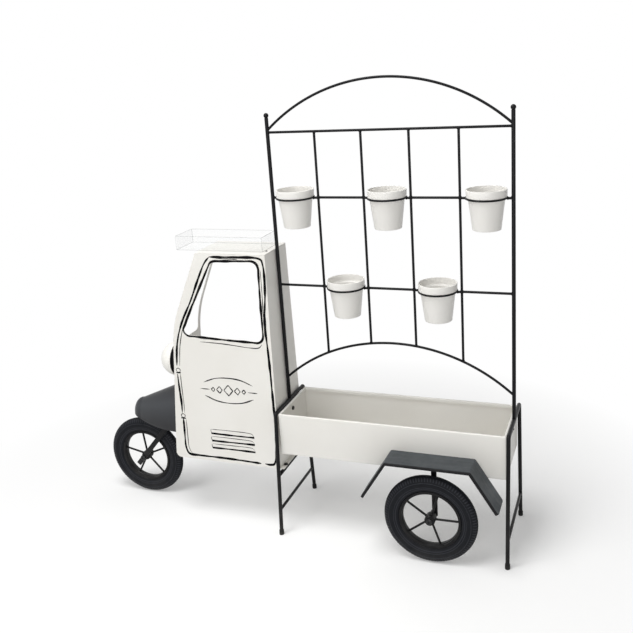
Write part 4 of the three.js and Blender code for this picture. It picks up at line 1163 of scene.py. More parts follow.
def tyre(centre):
    """The flank's curve turned about Y, less ribs on the shoulder, plus ring lines on the side wall."""
    flank = smooth(TYRE_FLANK, 9)
    section = np.vstack([flank * (1, -1), flank[::-1]])
    up, out = section.T
    lines = sum(depth * np.exp(-((up - place) / width) ** 2) for place, depth, width in RING_LINES)
    turn = angles(AROUND)[None, :]
    wave = np.clip(RIB_STEEPNESS * np.sin(SHOULDER_RIBS * turn), -1, 1) * 0.5 - 0.5
    rib = RIB_LEAN * RIB_DEPTH * band(up, *RIB_BAND)[:, None] * wave
    groove = -GROOVE_DEPTH * (np.abs(np.abs(out) - GROOVE_PLACE) < GROOVE_WIDTH / 2)[:, None]
    radius = BEAD_RADIUS + up[:, None] * (TYRE_RADIUS - BEAD_RADIUS) + rib + groove
    side = out[:, None] * TYRE_WIDTH + np.sign(out)[:, None] * (rib + lines[:, None] - SIDE_CLEARANCE)
    rings = centre + np.stack([radius * np.cos(turn), side + 0 * turn, radius * np.sin(turn)], -1)
    return skin(rings, loop=True)


# %% [markdown]
# ## Rims
# The rim is a channel rolled out of sheet, the hub is a turned tube with two collars, and five rods are
# welded between them. The two rings are turned profiles, and each rod's foot has a small collar of weld.

# %% Rims
RIM_INNER = 89 * MM
RIM_WIDTH = 26 * MM
RIM_SHEET = 2 * MM
HUB_RADIUS = 17 * MM
HUB_END_RADIUS = HUB_RADIUS * 0.85
HUB_LENGTH = 38 * MM
SPOKES = 5
SPOKE_RADIUS = 3.6 * MM
SPOKE_START, COLLAR_START = HUB_RADIUS * 0.6, HUB_RADIUS * 0.97
COLLAR_OVERLAP, COLLAR_WIDTH, COLLAR_HEIGHT = 1 * MM, 2 * MM, 3 * MM
AXLE_RADIUS = 5 * MM
GAP = 0.3 * MM
BORE = AXLE_RADIUS + GAP


def symmetric_ring(centre, half, radii, sides):
    """A ring turned about Y from one half of its profile and the mirror image of that half."""
    profile = [*half, *((radius, -y) for radius, y in reversed(half))]
    corners = np.array([*radii, *reversed(radii)]) * MM
    return turned(bent(profile, corners, 4, closed=True), centre, Y_AXIS, sides, loop=True)


def spoke_collar():
    """The collar of weld, drawn about Z at the origin: wide at the hub and narrow up the rod."""
    inner = SPOKE_RADIUS - COLLAR_OVERLAP
    profile = [(inner, -COLLAR_OVERLAP), (SPOKE_RADIUS + COLLAR_WIDTH, -COLLAR_OVERLAP),
               (SPOKE_RADIUS, COLLAR_HEIGHT), (inner, COLLAR_HEIGHT)]
    return turned(bent(profile, 0.4 * MM, 3, closed=True), np.zeros(3), Z_AXIS, 24, loop=True)


def rim(centre, first_spoke):
    """A channel-shaped band, a hub with two collars and five rods between them."""
    half, end = RIM_WIDTH / 2, HUB_LENGTH / 2
    lip = RIM_INNER + RIM_SHEET
    band = [(RIM_INNER, 8 * MM - half), (lip, 5 * MM - half), (lip, -half), (BEAD_RADIUS - GAP, -half)]
    hub = [(BORE, -end), (HUB_END_RADIUS, -end), (HUB_END_RADIUS, 4 * MM - end), (HUB_RADIUS, 6 * MM - end)]
    surfaces = [symmetric_ring(centre, band, (2, 1, 1.5, 1), 128),
                symmetric_ring(centre, hub, (0.5, 1, 1, 1.5), 64)]
    collar_points, collar_quads = spoke_collar()
    for k in range(SPOKES):
        turn = math.radians(first_spoke + k * 360 / SPOKES)
        way = np.array([math.cos(turn), 0, math.sin(turn)])
        surfaces.append(tube(centre + way * SPOKE_START, centre + way * lip, SPOKE_RADIUS, Y_AXIS))
        turn_up = np.stack([Y_AXIS, np.cross(way, Y_AXIS), way])
        surfaces.append((collar_points @ turn_up + centre + way * COLLAR_START, collar_quads))
    return surfaces


wheel_centres = {name: middle_of(f"{name}_tyre") for name in ("front_wheel", "rear_wheel")}
FIRST_SPOKE = {"front_wheel": 24, "rear_wheel": 1}


def mark_painted_highlight(thing, centre):
    """painted highlight = the ring lines' bells on the side wall plus the tops of the shoulder ribs."""
    points = np.empty(3 * len(thing.data.vertices))
    thing.data.vertices.foreach_get("co", points)
    x, _, z = (points.reshape(-1, 3) - centre).T
    up = (np.hypot(x, z) - BEAD_RADIUS) / (TYRE_RADIUS - BEAD_RADIUS)
    lines = sum(np.exp(-((up - place) / (PAINTED_HIGHLIGHT_SPREAD * width)) ** 2) for place, _, width in RING_LINES)
    ribs = band(up, *PAINTED_HIGHLIGHT_BAND) * np.clip(np.sin(SHOULDER_RIBS * np.arctan2(z, x)), 0, 1)
    attribute = thing.data.attributes.new("painted_highlight", "FLOAT", "POINT")
    attribute.data.foreach_set("value", np.clip(PAINTED_HIGHLIGHT_AMOUNT * (lines + ribs), 0, 1))


for name, centre in wheel_centres.items():
    ring = piece(f"{name}_rubber_ring", [tyre(centre)], tyre_rubber, [f"{name}_tyre"], body=name, crease=50)
    mark_painted_highlight(ring, centre)
    piece(f"{name}_spoked_rim", rim(centre, FIRST_SPOKE[name]), black_paint, [f"{name}_rim"], body=name)

# %% [markdown]
# ## Axle bolts, nuts and screws
# The axles are bolts with a domed head. The nuts and the small bolts are hexagons: the radius of a hexagon
# changes with the angle as apothem / cos(angle within one side). A cone cuts its corners, which gives the
# curved chamfer that every nut shows.

# %% Bolts and nuts
AXLE_HEAD, AXLE_HEAD_RADIUS, AXLE_CHAMFER = 5 * MM, 10 * MM, 0.8 * MM
NUT_ACROSS = 17 * MM
NUT_CHAMFER = 1.2 * MM
CONE_STEEPNESS = 1.6
HEX_SIDES = 72


def hex_head(base, axis, across_flats, height):
    """Rings stacked along an axis: a hexagon's radius, apothem / cos, cut by a cone near the two ends."""
    apothem, turn = across_flats / 2, angles(HEX_SIDES)
    level = np.array([0, 0.25, 0.6, 1]) * NUT_CHAMFER
    levels = np.concatenate([level, height - level[::-1]])
    flat = apothem / np.cos((turn + math.pi / 6) % (math.pi / 3) - math.pi / 6)
    cone = apothem + np.minimum(levels, height - levels) * CONE_STEEPNESS
    radius = np.minimum(flat[None], cone[:, None])
    u = np.roll(np.abs(axis), 1)
    spokes = np.cos(turn)[None, :, None] * u + np.sin(turn)[None, :, None] * np.cross(axis, u)
    return skin(base + levels[:, None, None] * axis + radius[..., None] * spokes)


def domed_head(base, axis, radius, height):
    """A low dome with a hexagon socket: the profile rises in an arc and drops into the socket."""
    profile = bent([(0, 0), (radius, 0), (radius, height * 0.45), (radius * 0.55, height),
                    (radius * 0.32, height), (radius * 0.30, height * 0.35), (0, height * 0.35)],
                   np.array([1, 0.3, 1, 1.5, 0.3, 0.3, 1]) * MM, 4)
    return turned(profile, base, axis, 48)


def axle_bolt(name):
    """A domed head at the show side and a plain shank with a chamfered end."""
    low, high = box(f"{name}_axle")
    axis_point = middle_of(f"{name}_axle") * (1, 0, 1)
    seat = axis_point + Y_AXIS * (low[1] + AXLE_HEAD)
    tip = axis_point + Y_AXIS * high[1]
    shank = tube(seat - Y_AXIS * MM, tip, AXLE_RADIUS, X_AXIS, AXLE_CHAMFER)
    return [domed_head(seat, -Y_AXIS, AXLE_HEAD_RADIUS, AXLE_HEAD), shank]


for name in ("front", "rear"):
    piece(f"{name}_axle_bolt", axle_bolt(name), bolt_steel, [f"{name}_axle"])
    low, high = box(f"{name}_axle_nut")
    base = middle_of(f"{name}_axle_nut") * (1, 0, 1) + Y_AXIS * low[1]
    nut = hex_head(base, Y_AXIS, NUT_ACROSS, high[1] - low[1])
    piece(f"{name}_hex_nut", [nut], bolt_steel, [f"{name}_axle_nut"])

# %% [markdown]
# ## Small bolts and screws
# Six bolts hold the planter and the cab. Each has a hexagon head, a washer and a plain shank that ends at its
# tip, along the longest side of its solid.

# %% Small bolts and screws
SMALL_HEAD = 12 * MM
HEAD_THICKNESS = 4 * MM
SHANK_RADIUS = 3 * MM
WASHER_RADIUS, WASHER_SUNK, WASHER_TOP = 7.5 * MM, 0.2 * MM, 0.8 * MM


def small_bolt(node, axis):
    """Head and shank along an axis that points from the tip to the head."""
    (low, high), centre = box(node), middle_of(node)
    half = np.abs((high - low) @ axis) / 2
    seat = centre + axis * (half - HEAD_THICKNESS)
    tip = centre - axis * half
    side = X_AXIS if abs(axis[0]) < 0.5 else Y_AXIS
    washer = bent([(0, -WASHER_SUNK), (WASHER_RADIUS, -WASHER_SUNK), (WASHER_RADIUS, WASHER_TOP),
                   (0, WASHER_TOP)], 0.3 * MM, 3)
    return [hex_head(seat, axis, SMALL_HEAD, HEAD_THICKNESS), tube(tip, seat + axis * MM, SHANK_RADIUS, side),
            turned(washer, seat, axis, 48)]


SMALL_BOLTS = {
    "planter_bolt_left": X_AXIS, "planter_bolt_right": -X_AXIS,
    "cab_bolt_show": -X_AXIS, "cab_bolt_back": -X_AXIS,
    "cab_screw_show": Z_AXIS, "cab_screw_back": Z_AXIS,
}
for node, axis in SMALL_BOLTS.items():
    piece(f"steel_{node}", small_bolt(node, axis), bolt_steel, [node])
print("small bolts:", len(SMALL_BOLTS))

# %% [markdown]
# ## Rear mudguard
# The mudguard is one long strip of sheet with a flat top and two sloping ends, and a lip folded down along
# its outer edge. The section of the strip, a flat with a small fold, is carried along the bent line, and the
# ends are drawn in so that their corners are round.

# %% Rear mudguard
GUARD_TOP_LENGTH = 269 * MM
GUARD_DEPTH = 88 * MM
GUARD_SLOPE = (83.5 * MM, 131 * MM)
GUARD_SHEET = 2 * MM
GUARD_LIP = 9 * MM
LIP_AT_ENDS = 0.35
GUARD_CORNER = 7 * MM
GUARD_BEND = 7 * MM


def mudguard():
    """Outer and inner grid of the folded section along the bent line. Near an end each row is drawn in by
    R - sqrt(R^2 - (R - s)^2), with s the distance to the end."""
    back, top = box("rear_mudguard")[1][1:]
    middle = middle_of("rear_mudguard")[0]
    half = GUARD_TOP_LENGTH / 2
    run, drop = GUARD_SLOPE
    line = [(-half - run, -drop), (-half, 0), (half, 0), (half + run, -drop)]
    line = resampled(bent(line, GUARD_BEND, 12), 320)
    normal = left_of(np.gradient(line, axis=0))
    run_along = np.concatenate([[0], np.cumsum(np.linalg.norm(np.diff(line, axis=0), axis=1))])
    to_end = np.minimum(run_along, run_along[-1] - run_along)
    drawn_in = GUARD_CORNER - np.sqrt(GUARD_CORNER ** 2 - np.maximum(GUARD_CORNER - to_end, 0) ** 2)
    lip = np.array([LIP_AT_ENDS, *[1.0] * (len(line) - 2), LIP_AT_ENDS])
    faces = []
    for inset in (0, GUARD_SHEET):
        fold = bent([(0, -inset), (GUARD_DEPTH - inset, -inset), (GUARD_DEPTH - inset, -GUARD_LIP)],
                    max(3.2 * MM - inset, 1 * MM), 6)
        fold = np.vstack([np.linspace(fold[0], fold[1], 12)[:-1], fold[1:]])
        across = fold[None, :, 0] / GUARD_DEPTH * (GUARD_DEPTH - 2 * drawn_in[:, None]) + drawn_in[:, None]
        depth = fold[None, :, 1] * np.where(fold[None, :, 1] < -inset - 0.1 * MM, lip[:, None], 1)
        grid = np.zeros((len(line), len(fold), 3))
        grid[..., 0] = middle + line[:, None, 0] + depth * normal[:, None, 0]
        grid[..., 1] = back - across
        grid[..., 2] = top + line[:, None, 1] + depth * normal[:, None, 1]
        faces.append(grid)
    return shell(*faces)


piece("mudguard_sheet", [mudguard()], guard_paint, ["rear_mudguard"], bevel=CUT_EDGE)

# %% [markdown]
# ## Strut and fork bar
# Both wheels hang on flat steel bars with a short tube, the boss, welded on round the axle. A flat bar is a
# rectangle with round corners carried along a straight line, its ends eased as a file would ease them.

# %% Strut and fork bar
BAR_CORNER = 1.4 * MM
BOSS_RADIUS = 9.3 * MM
BOSS_EASE = 0.6 * MM
STRUT_WIDTH = 17 * MM
STRUT_THICKNESS = 8 * MM
STRUT_TAIL = 5 * MM
FORK_ANGLE = 49
FORK_WIDTH = 18 * MM
FORK_THICKNESS = 8 * MM
FORK_TAIL = 37 * MM


def flat_bar(start, end, width, thickness, normal):
    """A bar with round corners whose ends are eased: the section shrinks over the last millimetre."""
    length = np.linalg.norm(end - start)
    share = np.array([0, 0.4 * MM, 1.2 * MM, length - 1.2 * MM, length - 0.4 * MM, length]) / length
    shrink = np.array([0.9, 0.3, 0, 0, 0.3, 0.9]) * MM
    scale = 1 - shrink / (thickness / 2)
    return straight(start, end, share, rounded_bar(thickness, width, BAR_CORNER), scale, normal)


def boss(centre, start_y, end_y):
    """The short tube that is welded to a bar round the axle."""
    profile = bent([(BORE, start_y), (BOSS_RADIUS, start_y), (BOSS_RADIUS, end_y), (BORE, end_y)],
                   BOSS_EASE, 4, closed=True)
    return turned(profile, centre * (1, 0, 1), Y_AXIS, 64, loop=True)


strut_low, strut_high = box("rear_strut")
strut_x = wheel_centres["rear_wheel"][0] + 8 * MM
strut_y = strut_high[1] - STRUT_THICKNESS / 2
strut_foot = np.array([strut_x, strut_y, wheel_centres["rear_wheel"][2] - STRUT_TAIL])
strut_top = np.array([strut_x, strut_y, strut_high[2] + 0.5 * MM])
strut = flat_bar(strut_foot, strut_top, STRUT_WIDTH, STRUT_THICKNESS, Y_AXIS)
rear_boss = boss(wheel_centres["rear_wheel"], strut_low[1], strut_high[1])
piece("strut_bar", [strut, rear_boss], black_paint, ["rear_strut"])

fork_low, fork_high = box("front_fork_bar")
fork_y = fork_low[1] + FORK_THICKNESS / 2
fork_way = np.array([math.cos(math.radians(FORK_ANGLE)), 0, math.sin(math.radians(FORK_ANGLE))])
hub_point = wheel_centres["front_wheel"] * (1, 0, 1) + Y_AXIS * fork_y
fork_reach = (fork_high[0] - hub_point[0]) / fork_way[0] - 6 * MM
fork_ends = (hub_point - fork_way * FORK_TAIL, hub_point + fork_way * fork_reach)
fork = flat_bar(*fork_ends, FORK_WIDTH, FORK_THICKNESS, Y_AXIS)
front_boss = boss(wheel_centres["front_wheel"], fork_low[1], fork_high[1])
piece("fork_flat_bar", [fork, front_boss], black_paint, ["front_fork_bar"])

# %% [markdown]
# ## The cab
# The cab is four sheets: the side that shows, the front with the windscreen, the rear wall and the roof. The
# nose line goes straight up from the toe, curves back under the windscreen and runs straight to the roof. A
# sheet with an opening is a family of closed lines between the edge of the opening and the outer edge.

# %% The nose line
(TOE_X, _, CAB_BOTTOM), (CAB_REAR, _, CAB_TOP) = box("cab_side_panel")
CAB_WIDTH_BOTTOM = 214 * MM
CAB_WIDTH_TOP = 170 * MM
WAIST = (35 * MM, 420 * MM)
BROW = (68 * MM, 552 * MM)
ROOF_FRONT = (152 * MM, CAB_TOP - CAB_BOTTOM)
NOSE_STEPS = 24


def nose_line():
    """(x, z): straight, a cubic curve whose handles are a third of its height, and straight again."""
    toe, waist, brow, roof = (np.array(point) for point in ((0, 0), WAIST, BROW, ROOF_FRONT))
    pull = (brow[1] - waist[1]) / 3
    handle_low = waist + pull * np.array([waist[0] / waist[1], 1])
    handle_high = brow - pull * np.array([(roof[0] - brow[0]) / (roof[1] - brow[1]), 1])
    t = np.linspace(0, 1, NOSE_STEPS)[:, None]
    outer = (1 - t) ** 3 * waist + t ** 3 * brow
    curve = outer + 3 * t * (1 - t) * ((1 - t) * handle_low + t * handle_high)
    return np.vstack([toe, curve, roof]) + (TOE_X, CAB_BOTTOM)


NOSE = nose_line()


def nose_x(z):
    """The nose line's x at a height."""
    return np.interp(z, NOSE[:, 1], NOSE[:, 0])


def half_width(z):
    """Half the cab's width at a height: it narrows evenly from the bottom to the roof."""
    share = (z - CAB_BOTTOM) / (CAB_TOP - CAB_BOTTOM)
    return (CAB_WIDTH_BOTTOM + (CAB_WIDTH_TOP - CAB_WIDTH_BOTTOM) * share) / 2


def ruled(inner, outer, rows):
    """Closed lines between the opening's edge and the outer edge, point to point."""
    share = np.linspace(0, 1, rows)[:, None, None]
    return inner[None] * (1 - share) + outer[None] * share


def by_angle(line, centre, count):
    """A closed line sampled where rays from a centre, at equal angles, cross it."""
    fine = resampled(line, 4000, closed=True) - centre
    turn = np.arctan2(fine[:, 1], fine[:, 0])
    crossing = [np.interp(angles(count), turn, column, period=2 * math.pi) for column in fine.T]
    return np.stack(crossing, -1) + centre


# %% [markdown]
# ## The side panel
# One flat sheet, cut along the nose line, with a window whose five corners have their own radii. It leans
# inwards towards the roof. The window is a little smaller than the line painted round it.

# %% The side panel
WINDOW_CORNERS = [((-41, 667), 26), ((-40, 944), 24), ((-211, 941), 20), ((-341, 695), 9), ((-327, 677), 9)]
WINDOW_INSET = 4 * MM
WINDOW_CENTRE = (30 * MM, 590 * MM)
RAYS = 512
TOE_RADIUS = 18 * MM


def side_y(z):
    """The outer face of the leaning side."""
    return ORIGIN[1] - half_width(z)


def window_line():
    """The line round the window: corners joined by straight edges, each with its own radius."""
    corners = np.array([corner for corner, _ in WINDOW_CORNERS]) * MM + (ORIGIN[0], 0)
    return bent(corners, np.array([radius for _, radius in WINDOW_CORNERS]) * MM, 10, closed=True)


def moved(line, distance):
    """A closed line moved along its normals, outwards when the distance is above zero."""
    away = -left_of(np.roll(line, -1, axis=0) - np.roll(line, 1, axis=0))
    return line + away * np.sign(((line - line.mean(0)) * away).sum()) * distance


def side_outline():
    """The nose line with a round toe, and the straight lower, rear and top edges."""
    corner = bent([NOSE[1], NOSE[0], (CAB_REAR, CAB_BOTTOM)], TOE_RADIUS, 10)[1:-1]
    return np.vstack([corner, (CAB_REAR, CAB_BOTTOM), (CAB_REAR, CAB_TOP), NOSE[:0:-1]])


def side_panel():
    """The flat family of lines, leaned by the side's slope, and a second face one sheet inside."""
    centre = np.array([(CAB_REAR + TOE_X) / 2, CAB_BOTTOM]) + WINDOW_CENTRE
    opening = moved(resampled(window_line(), 400, closed=True), -WINDOW_INSET)
    inner, outer = (by_angle(line, centre, RAYS) for line in (opening, side_outline()))
    flat = ruled(inner, outer, 12)
    face = np.stack([flat[..., 0], side_y(flat[..., 1]), flat[..., 1]], -1)
    lean = math.atan2((CAB_WIDTH_BOTTOM - CAB_WIDTH_TOP) / 2, CAB_TOP - CAB_BOTTOM)
    inside = face + SHEET * np.array([0, math.cos(lean), -math.sin(lean)])
    return skin(np.concatenate([face, inside[::-1]]), loop=True)


piece("door_side_sheet", [side_panel()], cream_paint, ["cab_side_panel"], bevel=CUT_EDGE)

# %% [markdown]
# ## The front, rear and roof sheets
# The front is drawn flat in y and z, with a wide windscreen, and then moved back to the nose line, so that it
# is bent where the nose is. The rear wall is folded forward at its foot, where it rests on the bearer bar.

# %% The front, rear and roof sheets
SIDE_MARGIN = SHEET + GAP
SCREEN_BORDER = 16 * MM
SCREEN_SILL, SCREEN_HEAD = CAB_BOTTOM + 420 * MM, CAB_TOP - 35 * MM
SCREEN_CORNER = 18 * MM
FRONT_HEM_RAISED = 14 * MM


def reach(z):
    """Half the width that the two sides leave for a sheet between them."""
    return half_width(z) - SIDE_MARGIN


def cornered(low, high, border=0):
    """Four corners between two heights, each row as wide as the cab there less a border."""
    half_low, half_high = reach(low) - border, reach(high) - border
    return np.array([(-half_low, low), (half_low, low), (half_high, high), (-half_high, high)])


def front_sheet():
    """Drawn in (y, z), then moved back to the nose line; the inner face is one sheet's thickness behind."""
    outline = cornered(CAB_BOTTOM + FRONT_HEM_RAISED, CAB_TOP)
    screen = cornered(SCREEN_SILL, SCREEN_HEAD, SCREEN_BORDER)
    screen = bent(screen, SCREEN_CORNER, 10, closed=True)
    centre = np.array([0, (SCREEN_SILL + SCREEN_HEAD) / 2])
    inner, outer = (by_angle(line, centre, RAYS) for line in (screen, outline))
    flat = ruled(inner, outer, 60)
    face = np.stack([nose_x(flat[..., 1]), ORIGIN[1] + flat[..., 0], flat[..., 1]], -1)
    return skin(np.concatenate([face, (face + X_AXIS * SHEET)[::-1]]), loop=True)


def rear_sheet():
    """The wall's line from the roof down and forward into its flange, each row as wide as the cab."""
    low, high = box("cab_rear_panel")
    faces = []
    for inset in (0, SHEET):
        wall_x, flange_z = CAB_REAR - inset, low[2] + inset
        line = bent([(wall_x, high[2]), (wall_x, flange_z), (high[0], flange_z)],
                    max(0.6 * MM, 2.2 * MM - inset), 6)
        line = np.vstack([np.linspace(line[0], line[1], 60)[:-1], line[1:]])
        across = np.linspace(-1, 1, 24)[None] * reach(line[:, 1])[:, None]
        grid = np.stack([np.broadcast_to(line[:, :1], across.shape), ORIGIN[1] + across,
                         np.broadcast_to(line[:, 1:], across.shape)], -1)
        faces.append(grid)
    return shell(*faces)


def roof_sheet():
    """A flat plate with round corners and eased edges."""
    low, high = box("cab_roof")
    ease = 0.4 * MM
    profile = [(ease, low[2]), (0, low[2] + ease), (0, high[2] - ease), (ease, high[2])]
    return trough(low, high, profile, 2 * MM)


piece("nose_sheet", [front_sheet()], cream_paint, ["cab_front_panel"], bevel=CUT_EDGE)
piece("rear_wall_sheet", [rear_sheet()], cream_paint, ["cab_rear_panel"], bevel=CUT_EDGE)
piece("roof_sheet", [roof_sheet()], cream_paint, ["cab_roof"])

# %% [markdown]
# ## Roof screws
# Two small domed screws hold the roof sheet near its rear edge.

# %% Roof screws
ROOF_SCREWS = [(-27, -40), (-27, 40)]
roof_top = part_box("cab_roof")[1][2]
screws = [domed_head(at(x, y, 0) + Z_AXIS * roof_top, Z_AXIS, 3.8 * MM, 2.2 * MM) for x, y in ROOF_SCREWS]
piece("roof_screw_heads", screws, bolt_steel, [])

# %% [markdown]
# ## The painted door
# The door is not a real one: its outline, its hinges, the line round the window and three louvres are painted
# on the side in black. A brush line is a thin ribbon whose width changes along it. Each ribbon is a smooth
# curve through a few points, drawn in the plane of the side and laid on the paint.

# %% Brush lines
INK_LIFT = 0.12 * MM
INK_THICKNESS = 0.10 * MM
INK_WEIGHT = 1.45


def on_side(x, z, lift):
    """A point of the side panel from the drawing's x and z, lifted off the paint."""
    x, z = ORIGIN[0] + x * MM, z * MM
    return np.stack([x, side_y(z) - lift, z], -1)


def brush_line(points, width, seed, closed=False, taper=True):
    """A ribbon along a smooth curve: width times (1 + slow waves), drawn out to a point at its ends."""
    curve = smooth(points, 10, closed)
    count = max(12, int(np.linalg.norm(np.diff(curve, axis=0), axis=1).sum() / 5))
    curve = resampled(np.vstack([curve, curve[:1]]) if closed else curve, count)
    across = left_of(np.gradient(curve, axis=0))
    run = np.linspace(0, 1, count)
    along = run * count
    waves = 0.22 * np.sin(along * 0.23 + seed) + 0.13 * np.sin(along * 0.61 + 2.1 * seed)
    half = width * INK_WEIGHT / 2 * (1 + waves)
    if taper:
        half = half * np.clip(np.minimum(run, 1 - run) * count / 4 + 0.25, 0, 1)
    sway = 0.6 * np.sin(along * 0.11 + 1.3 * seed)
    edges = [curve + across * (sway + sign * half)[:, None] for sign in (-1, 1)]
    faces = [np.stack([on_side(*edge.T, lift) for edge in edges], 1)
             for lift in (INK_LIFT + INK_THICKNESS, INK_LIFT)]
    return shell(*faces)


DOOR_OUTLINE = [(-374, 371), (-375, 300), (-374, 262), (-362, 238), (-320, 236), (-202, 235), (-84, 233)]
DOOR_REAR = [(-70, 233), (-48, 232), (-31, 245), (-22, 323), (-21, 431), (-24, 537), (-27, 641),
             (-30, 743), (-22, 844), (-22, 930), (-40, 955), (-120, 956), (-214, 954)]
DOOR_FRONT = [(-214, 954), (-236, 928), (-268, 866), (-301, 798), (-335, 735), (-356, 684),
              (-370, 630), (-378, 566)]
DOOR_HINGED = [(-378, 537), (-377, 480), (-375, 430), (-376, 391)]
LOUVRES = [(325.5, 340), (298.5, 313), (271.5, 286)]


def round_window():
    """The line round the window in drawing units. The opening is smaller, so the paint lies on sheet."""
    return (resampled(window_line(), 60, closed=True) - (ORIGIN[0], 0)) / MM


def inner_line(points, shift):
    """The same line a little further in, for the thin second stroke."""
    return [(x + shift, z) for x, z in points]


strokes = [
    brush_line(DOOR_OUTLINE, 5.2, 1.0),
    brush_line(DOOR_REAR, 5.4, 2.0),
    brush_line(DOOR_FRONT, 4.8, 3.0),
    brush_line(DOOR_HINGED, 5.0, 4.0),
    brush_line(inner_line(DOOR_OUTLINE[:4], 11), 1.6, 5.0),
    brush_line(inner_line(DOOR_HINGED, 10), 1.7, 6.0),
    brush_line(inner_line(DOOR_FRONT[3:], 11), 1.8, 7.0),
    brush_line(round_window(), 5.2, 8.0, closed=True, taper=False),
    brush_line([(-35, 690), (-33, 780), (-32, 850), (-33, 915)], 1.6, 9.0),
    brush_line([(-277, 659), (-180, 656), (-91, 650), (-60, 652), (-47, 664)], 1.9, 10.0),
    brush_line([(-190, 949), (-150, 950), (-110, 948)], 1.8, 11.0),
]
for number, (thick, thin) in enumerate(LOUVRES):
    lower = [(-268, thick), (-185, thick), (-103, thick)]
    upper = [(-267, thin), (-190, thin + 1), (-118, thin), (-104, thick + 4)]
    strokes.append(brush_line(lower, 4.2, 12.0 + number, taper=False))
    strokes.append(brush_line(upper, 1.4, 15.0 + number))
    strokes.append(brush_line([(-268, thick), (-269, thin)], 1.2, 18.0 + number))
print("brush lines:", len(strokes))

# %% [markdown]
# ## Hinge marks and ornament
# Two hinges are painted as a small oval over a bar. The middle of the door carries a plain ornament of
# lozenges and bars between two bows, in thin strokes of the same ink.

# %% Hinge marks and ornament
HINGES = [(-376, 381), (-377, 550)]
ORNAMENT_CENTRE = (-186, 490)
LOZENGES = [(0, 34), (-34, 22), (34, 22), (-58, 14), (58, 14)]
BOW = [(-92, 24), (-48, 41), (0, 46), (48, 41), (92, 24)]


def ellipse(centre, width, height):
    """Sixteen points round an ellipse."""
    turn = angles(16)
    return np.stack([centre[0] + width / 2 * np.cos(turn), centre[1] + height / 2 * np.sin(turn)], -1)


def lozenge(x, z, width, height, thickness, seed):
    """Four short strokes that meet in points."""
    corners = [(x - width / 2, z), (x, z + height / 2), (x + width / 2, z), (x, z - height / 2)]
    sides = zip(corners, corners[1:] + corners[:1])
    return [brush_line([a, b], thickness, seed + k, taper=False) for k, (a, b) in enumerate(sides)]


for number, (x, z) in enumerate(HINGES):
    strokes.append(brush_line(ellipse((x + 3, z), 17, 15), 1.6, 20.0 + number, closed=True, taper=False))
    strokes.append(brush_line([(x - 6, z - 9), (x + 12, z - 9)], 3.4, 22.0 + number, taper=False))

middle_x, middle_z = ORNAMENT_CENTRE
for number, (offset, size) in enumerate(LOZENGES):
    strokes += lozenge(middle_x + offset, middle_z, size, size * 1.15, 2.2, 30.0 + 5 * number)
for way in (-1, 1):
    x = middle_x + way * 72
    bar = [(x + way * step, middle_z) for step in (0, 18, 36)]
    strokes.append(brush_line(bar, 2.4, 60.0 + way))
for way in (1, -1):
    bow = [(middle_x + step, middle_z + way * lift) for step, lift in BOW]
    strokes.append(brush_line(bow, 2.6, 64.0 + way))
piece("painted_door_lines", strokes, door_ink, [])

# %% [markdown]
# ## Headlamp
# A black drum stands on the nose, and a white dome closes it. Both are turned about X. The dome is a quarter
# circle whose wall has its true thickness, and a thin black bezel holds it to the drum.

# %% Headlamp
LAMP_SIDES = 96
LAMP_WALL = 2 * MM
drum_front = box("headlamp_drum")[0][0]
dome_low, dome_high = box("headlamp_dome")
lamp_centre = (dome_low + dome_high) / 2 * (0, 1, 1)
DOME_RADIUS = (dome_high[2] - dome_low[2]) / 2
DRUM_RADIUS = 56 * MM
BEZEL_WIDTH = 4 * MM


def dome():
    """Outer quarter circle and inner quarter circle, joined along the foot."""
    turn = np.linspace(0, math.pi / 2, 28)
    outer = DOME_RADIUS * np.stack([np.cos(turn), np.sin(turn)], -1)
    inner = outer * (1 - LAMP_WALL / DOME_RADIUS)
    outer[-1, 0] = inner[-1, 0] = 0
    return turned(np.vstack([outer[::-1], inner]), lamp_centre + X_AXIS * dome_high[0], -X_AXIS, LAMP_SIDES)


def drum():
    """A short tube cut square in front, and behind along the sloping nose."""
    disc = np.column_stack([np.zeros(LAMP_SIDES), circle(DRUM_RADIUS, LAMP_SIDES)])
    foot_x = nose_x(lamp_centre[2] + disc[:, 2]) - 0.2 * MM
    share = np.linspace(0, 1, 8)[:, None]
    rings = np.repeat([lamp_centre + disc], len(share), axis=0)
    rings[..., 0] = drum_front * (1 - share) + foot_x * share
    return skin(rings)


def bezel():
    """The ring between the drum and the dome."""
    inner, outer = DRUM_RADIUS - 1 * MM, DOME_RADIUS - 0.2 * MM
    profile = [(inner, 0), (outer, 0), (outer, BEZEL_WIDTH), (inner, BEZEL_WIDTH)]
    profile = bent(profile, 1.2 * MM, 5, closed=True)
    return turned(profile, lamp_centre + X_AXIS * drum_front, X_AXIS, LAMP_SIDES, loop=True)


piece("lamp_dome", [dome()], lamp_white, ["headlamp_dome"])
piece("lamp_drum", [drum(), bezel()], black_paint, ["headlamp_drum"])

# %% [markdown]
# ## Front fender
# The fender is half of a flattened cone with a round nose, open below, over the front wheel. Each section is
# half an ellipse between the two lower edges. The rear edge is cut along the nose of the cab. A narrow band
# along the lower edges stands out a little, as a hemmed edge does. In front all lines meet in one point.

# %% Front fender
FENDER_REAR_HEIGHT = 172 * MM
FENDER_NOSE_HEIGHT = 78 * MM
FENDER_FLATNESS = 0.48
FENDER_SHEET = 2 * MM
FENDER_BULGE = 40 * MM
FENDER_EDGE = [(0, 22), (0.1, 13), (0.22, 5), (0.4, -2), (0.6, -6), (0.8, -7), (1, -6)]
HEM_PROUD, HEM_ROWS = 0.8 * MM, 3
FENDER_ACROSS = 97
fender_low, fender_high = box("front_fender")


def edge_height(x):
    """The lower edge: raised at the nose, then a slow sag towards the cab."""
    share = (x - fender_low[0]) / (fender_high[0] - fender_low[0])
    knots = smooth(FENDER_EDGE, 12)
    return np.interp(share, knots[:, 0], knots[:, 1]) * MM


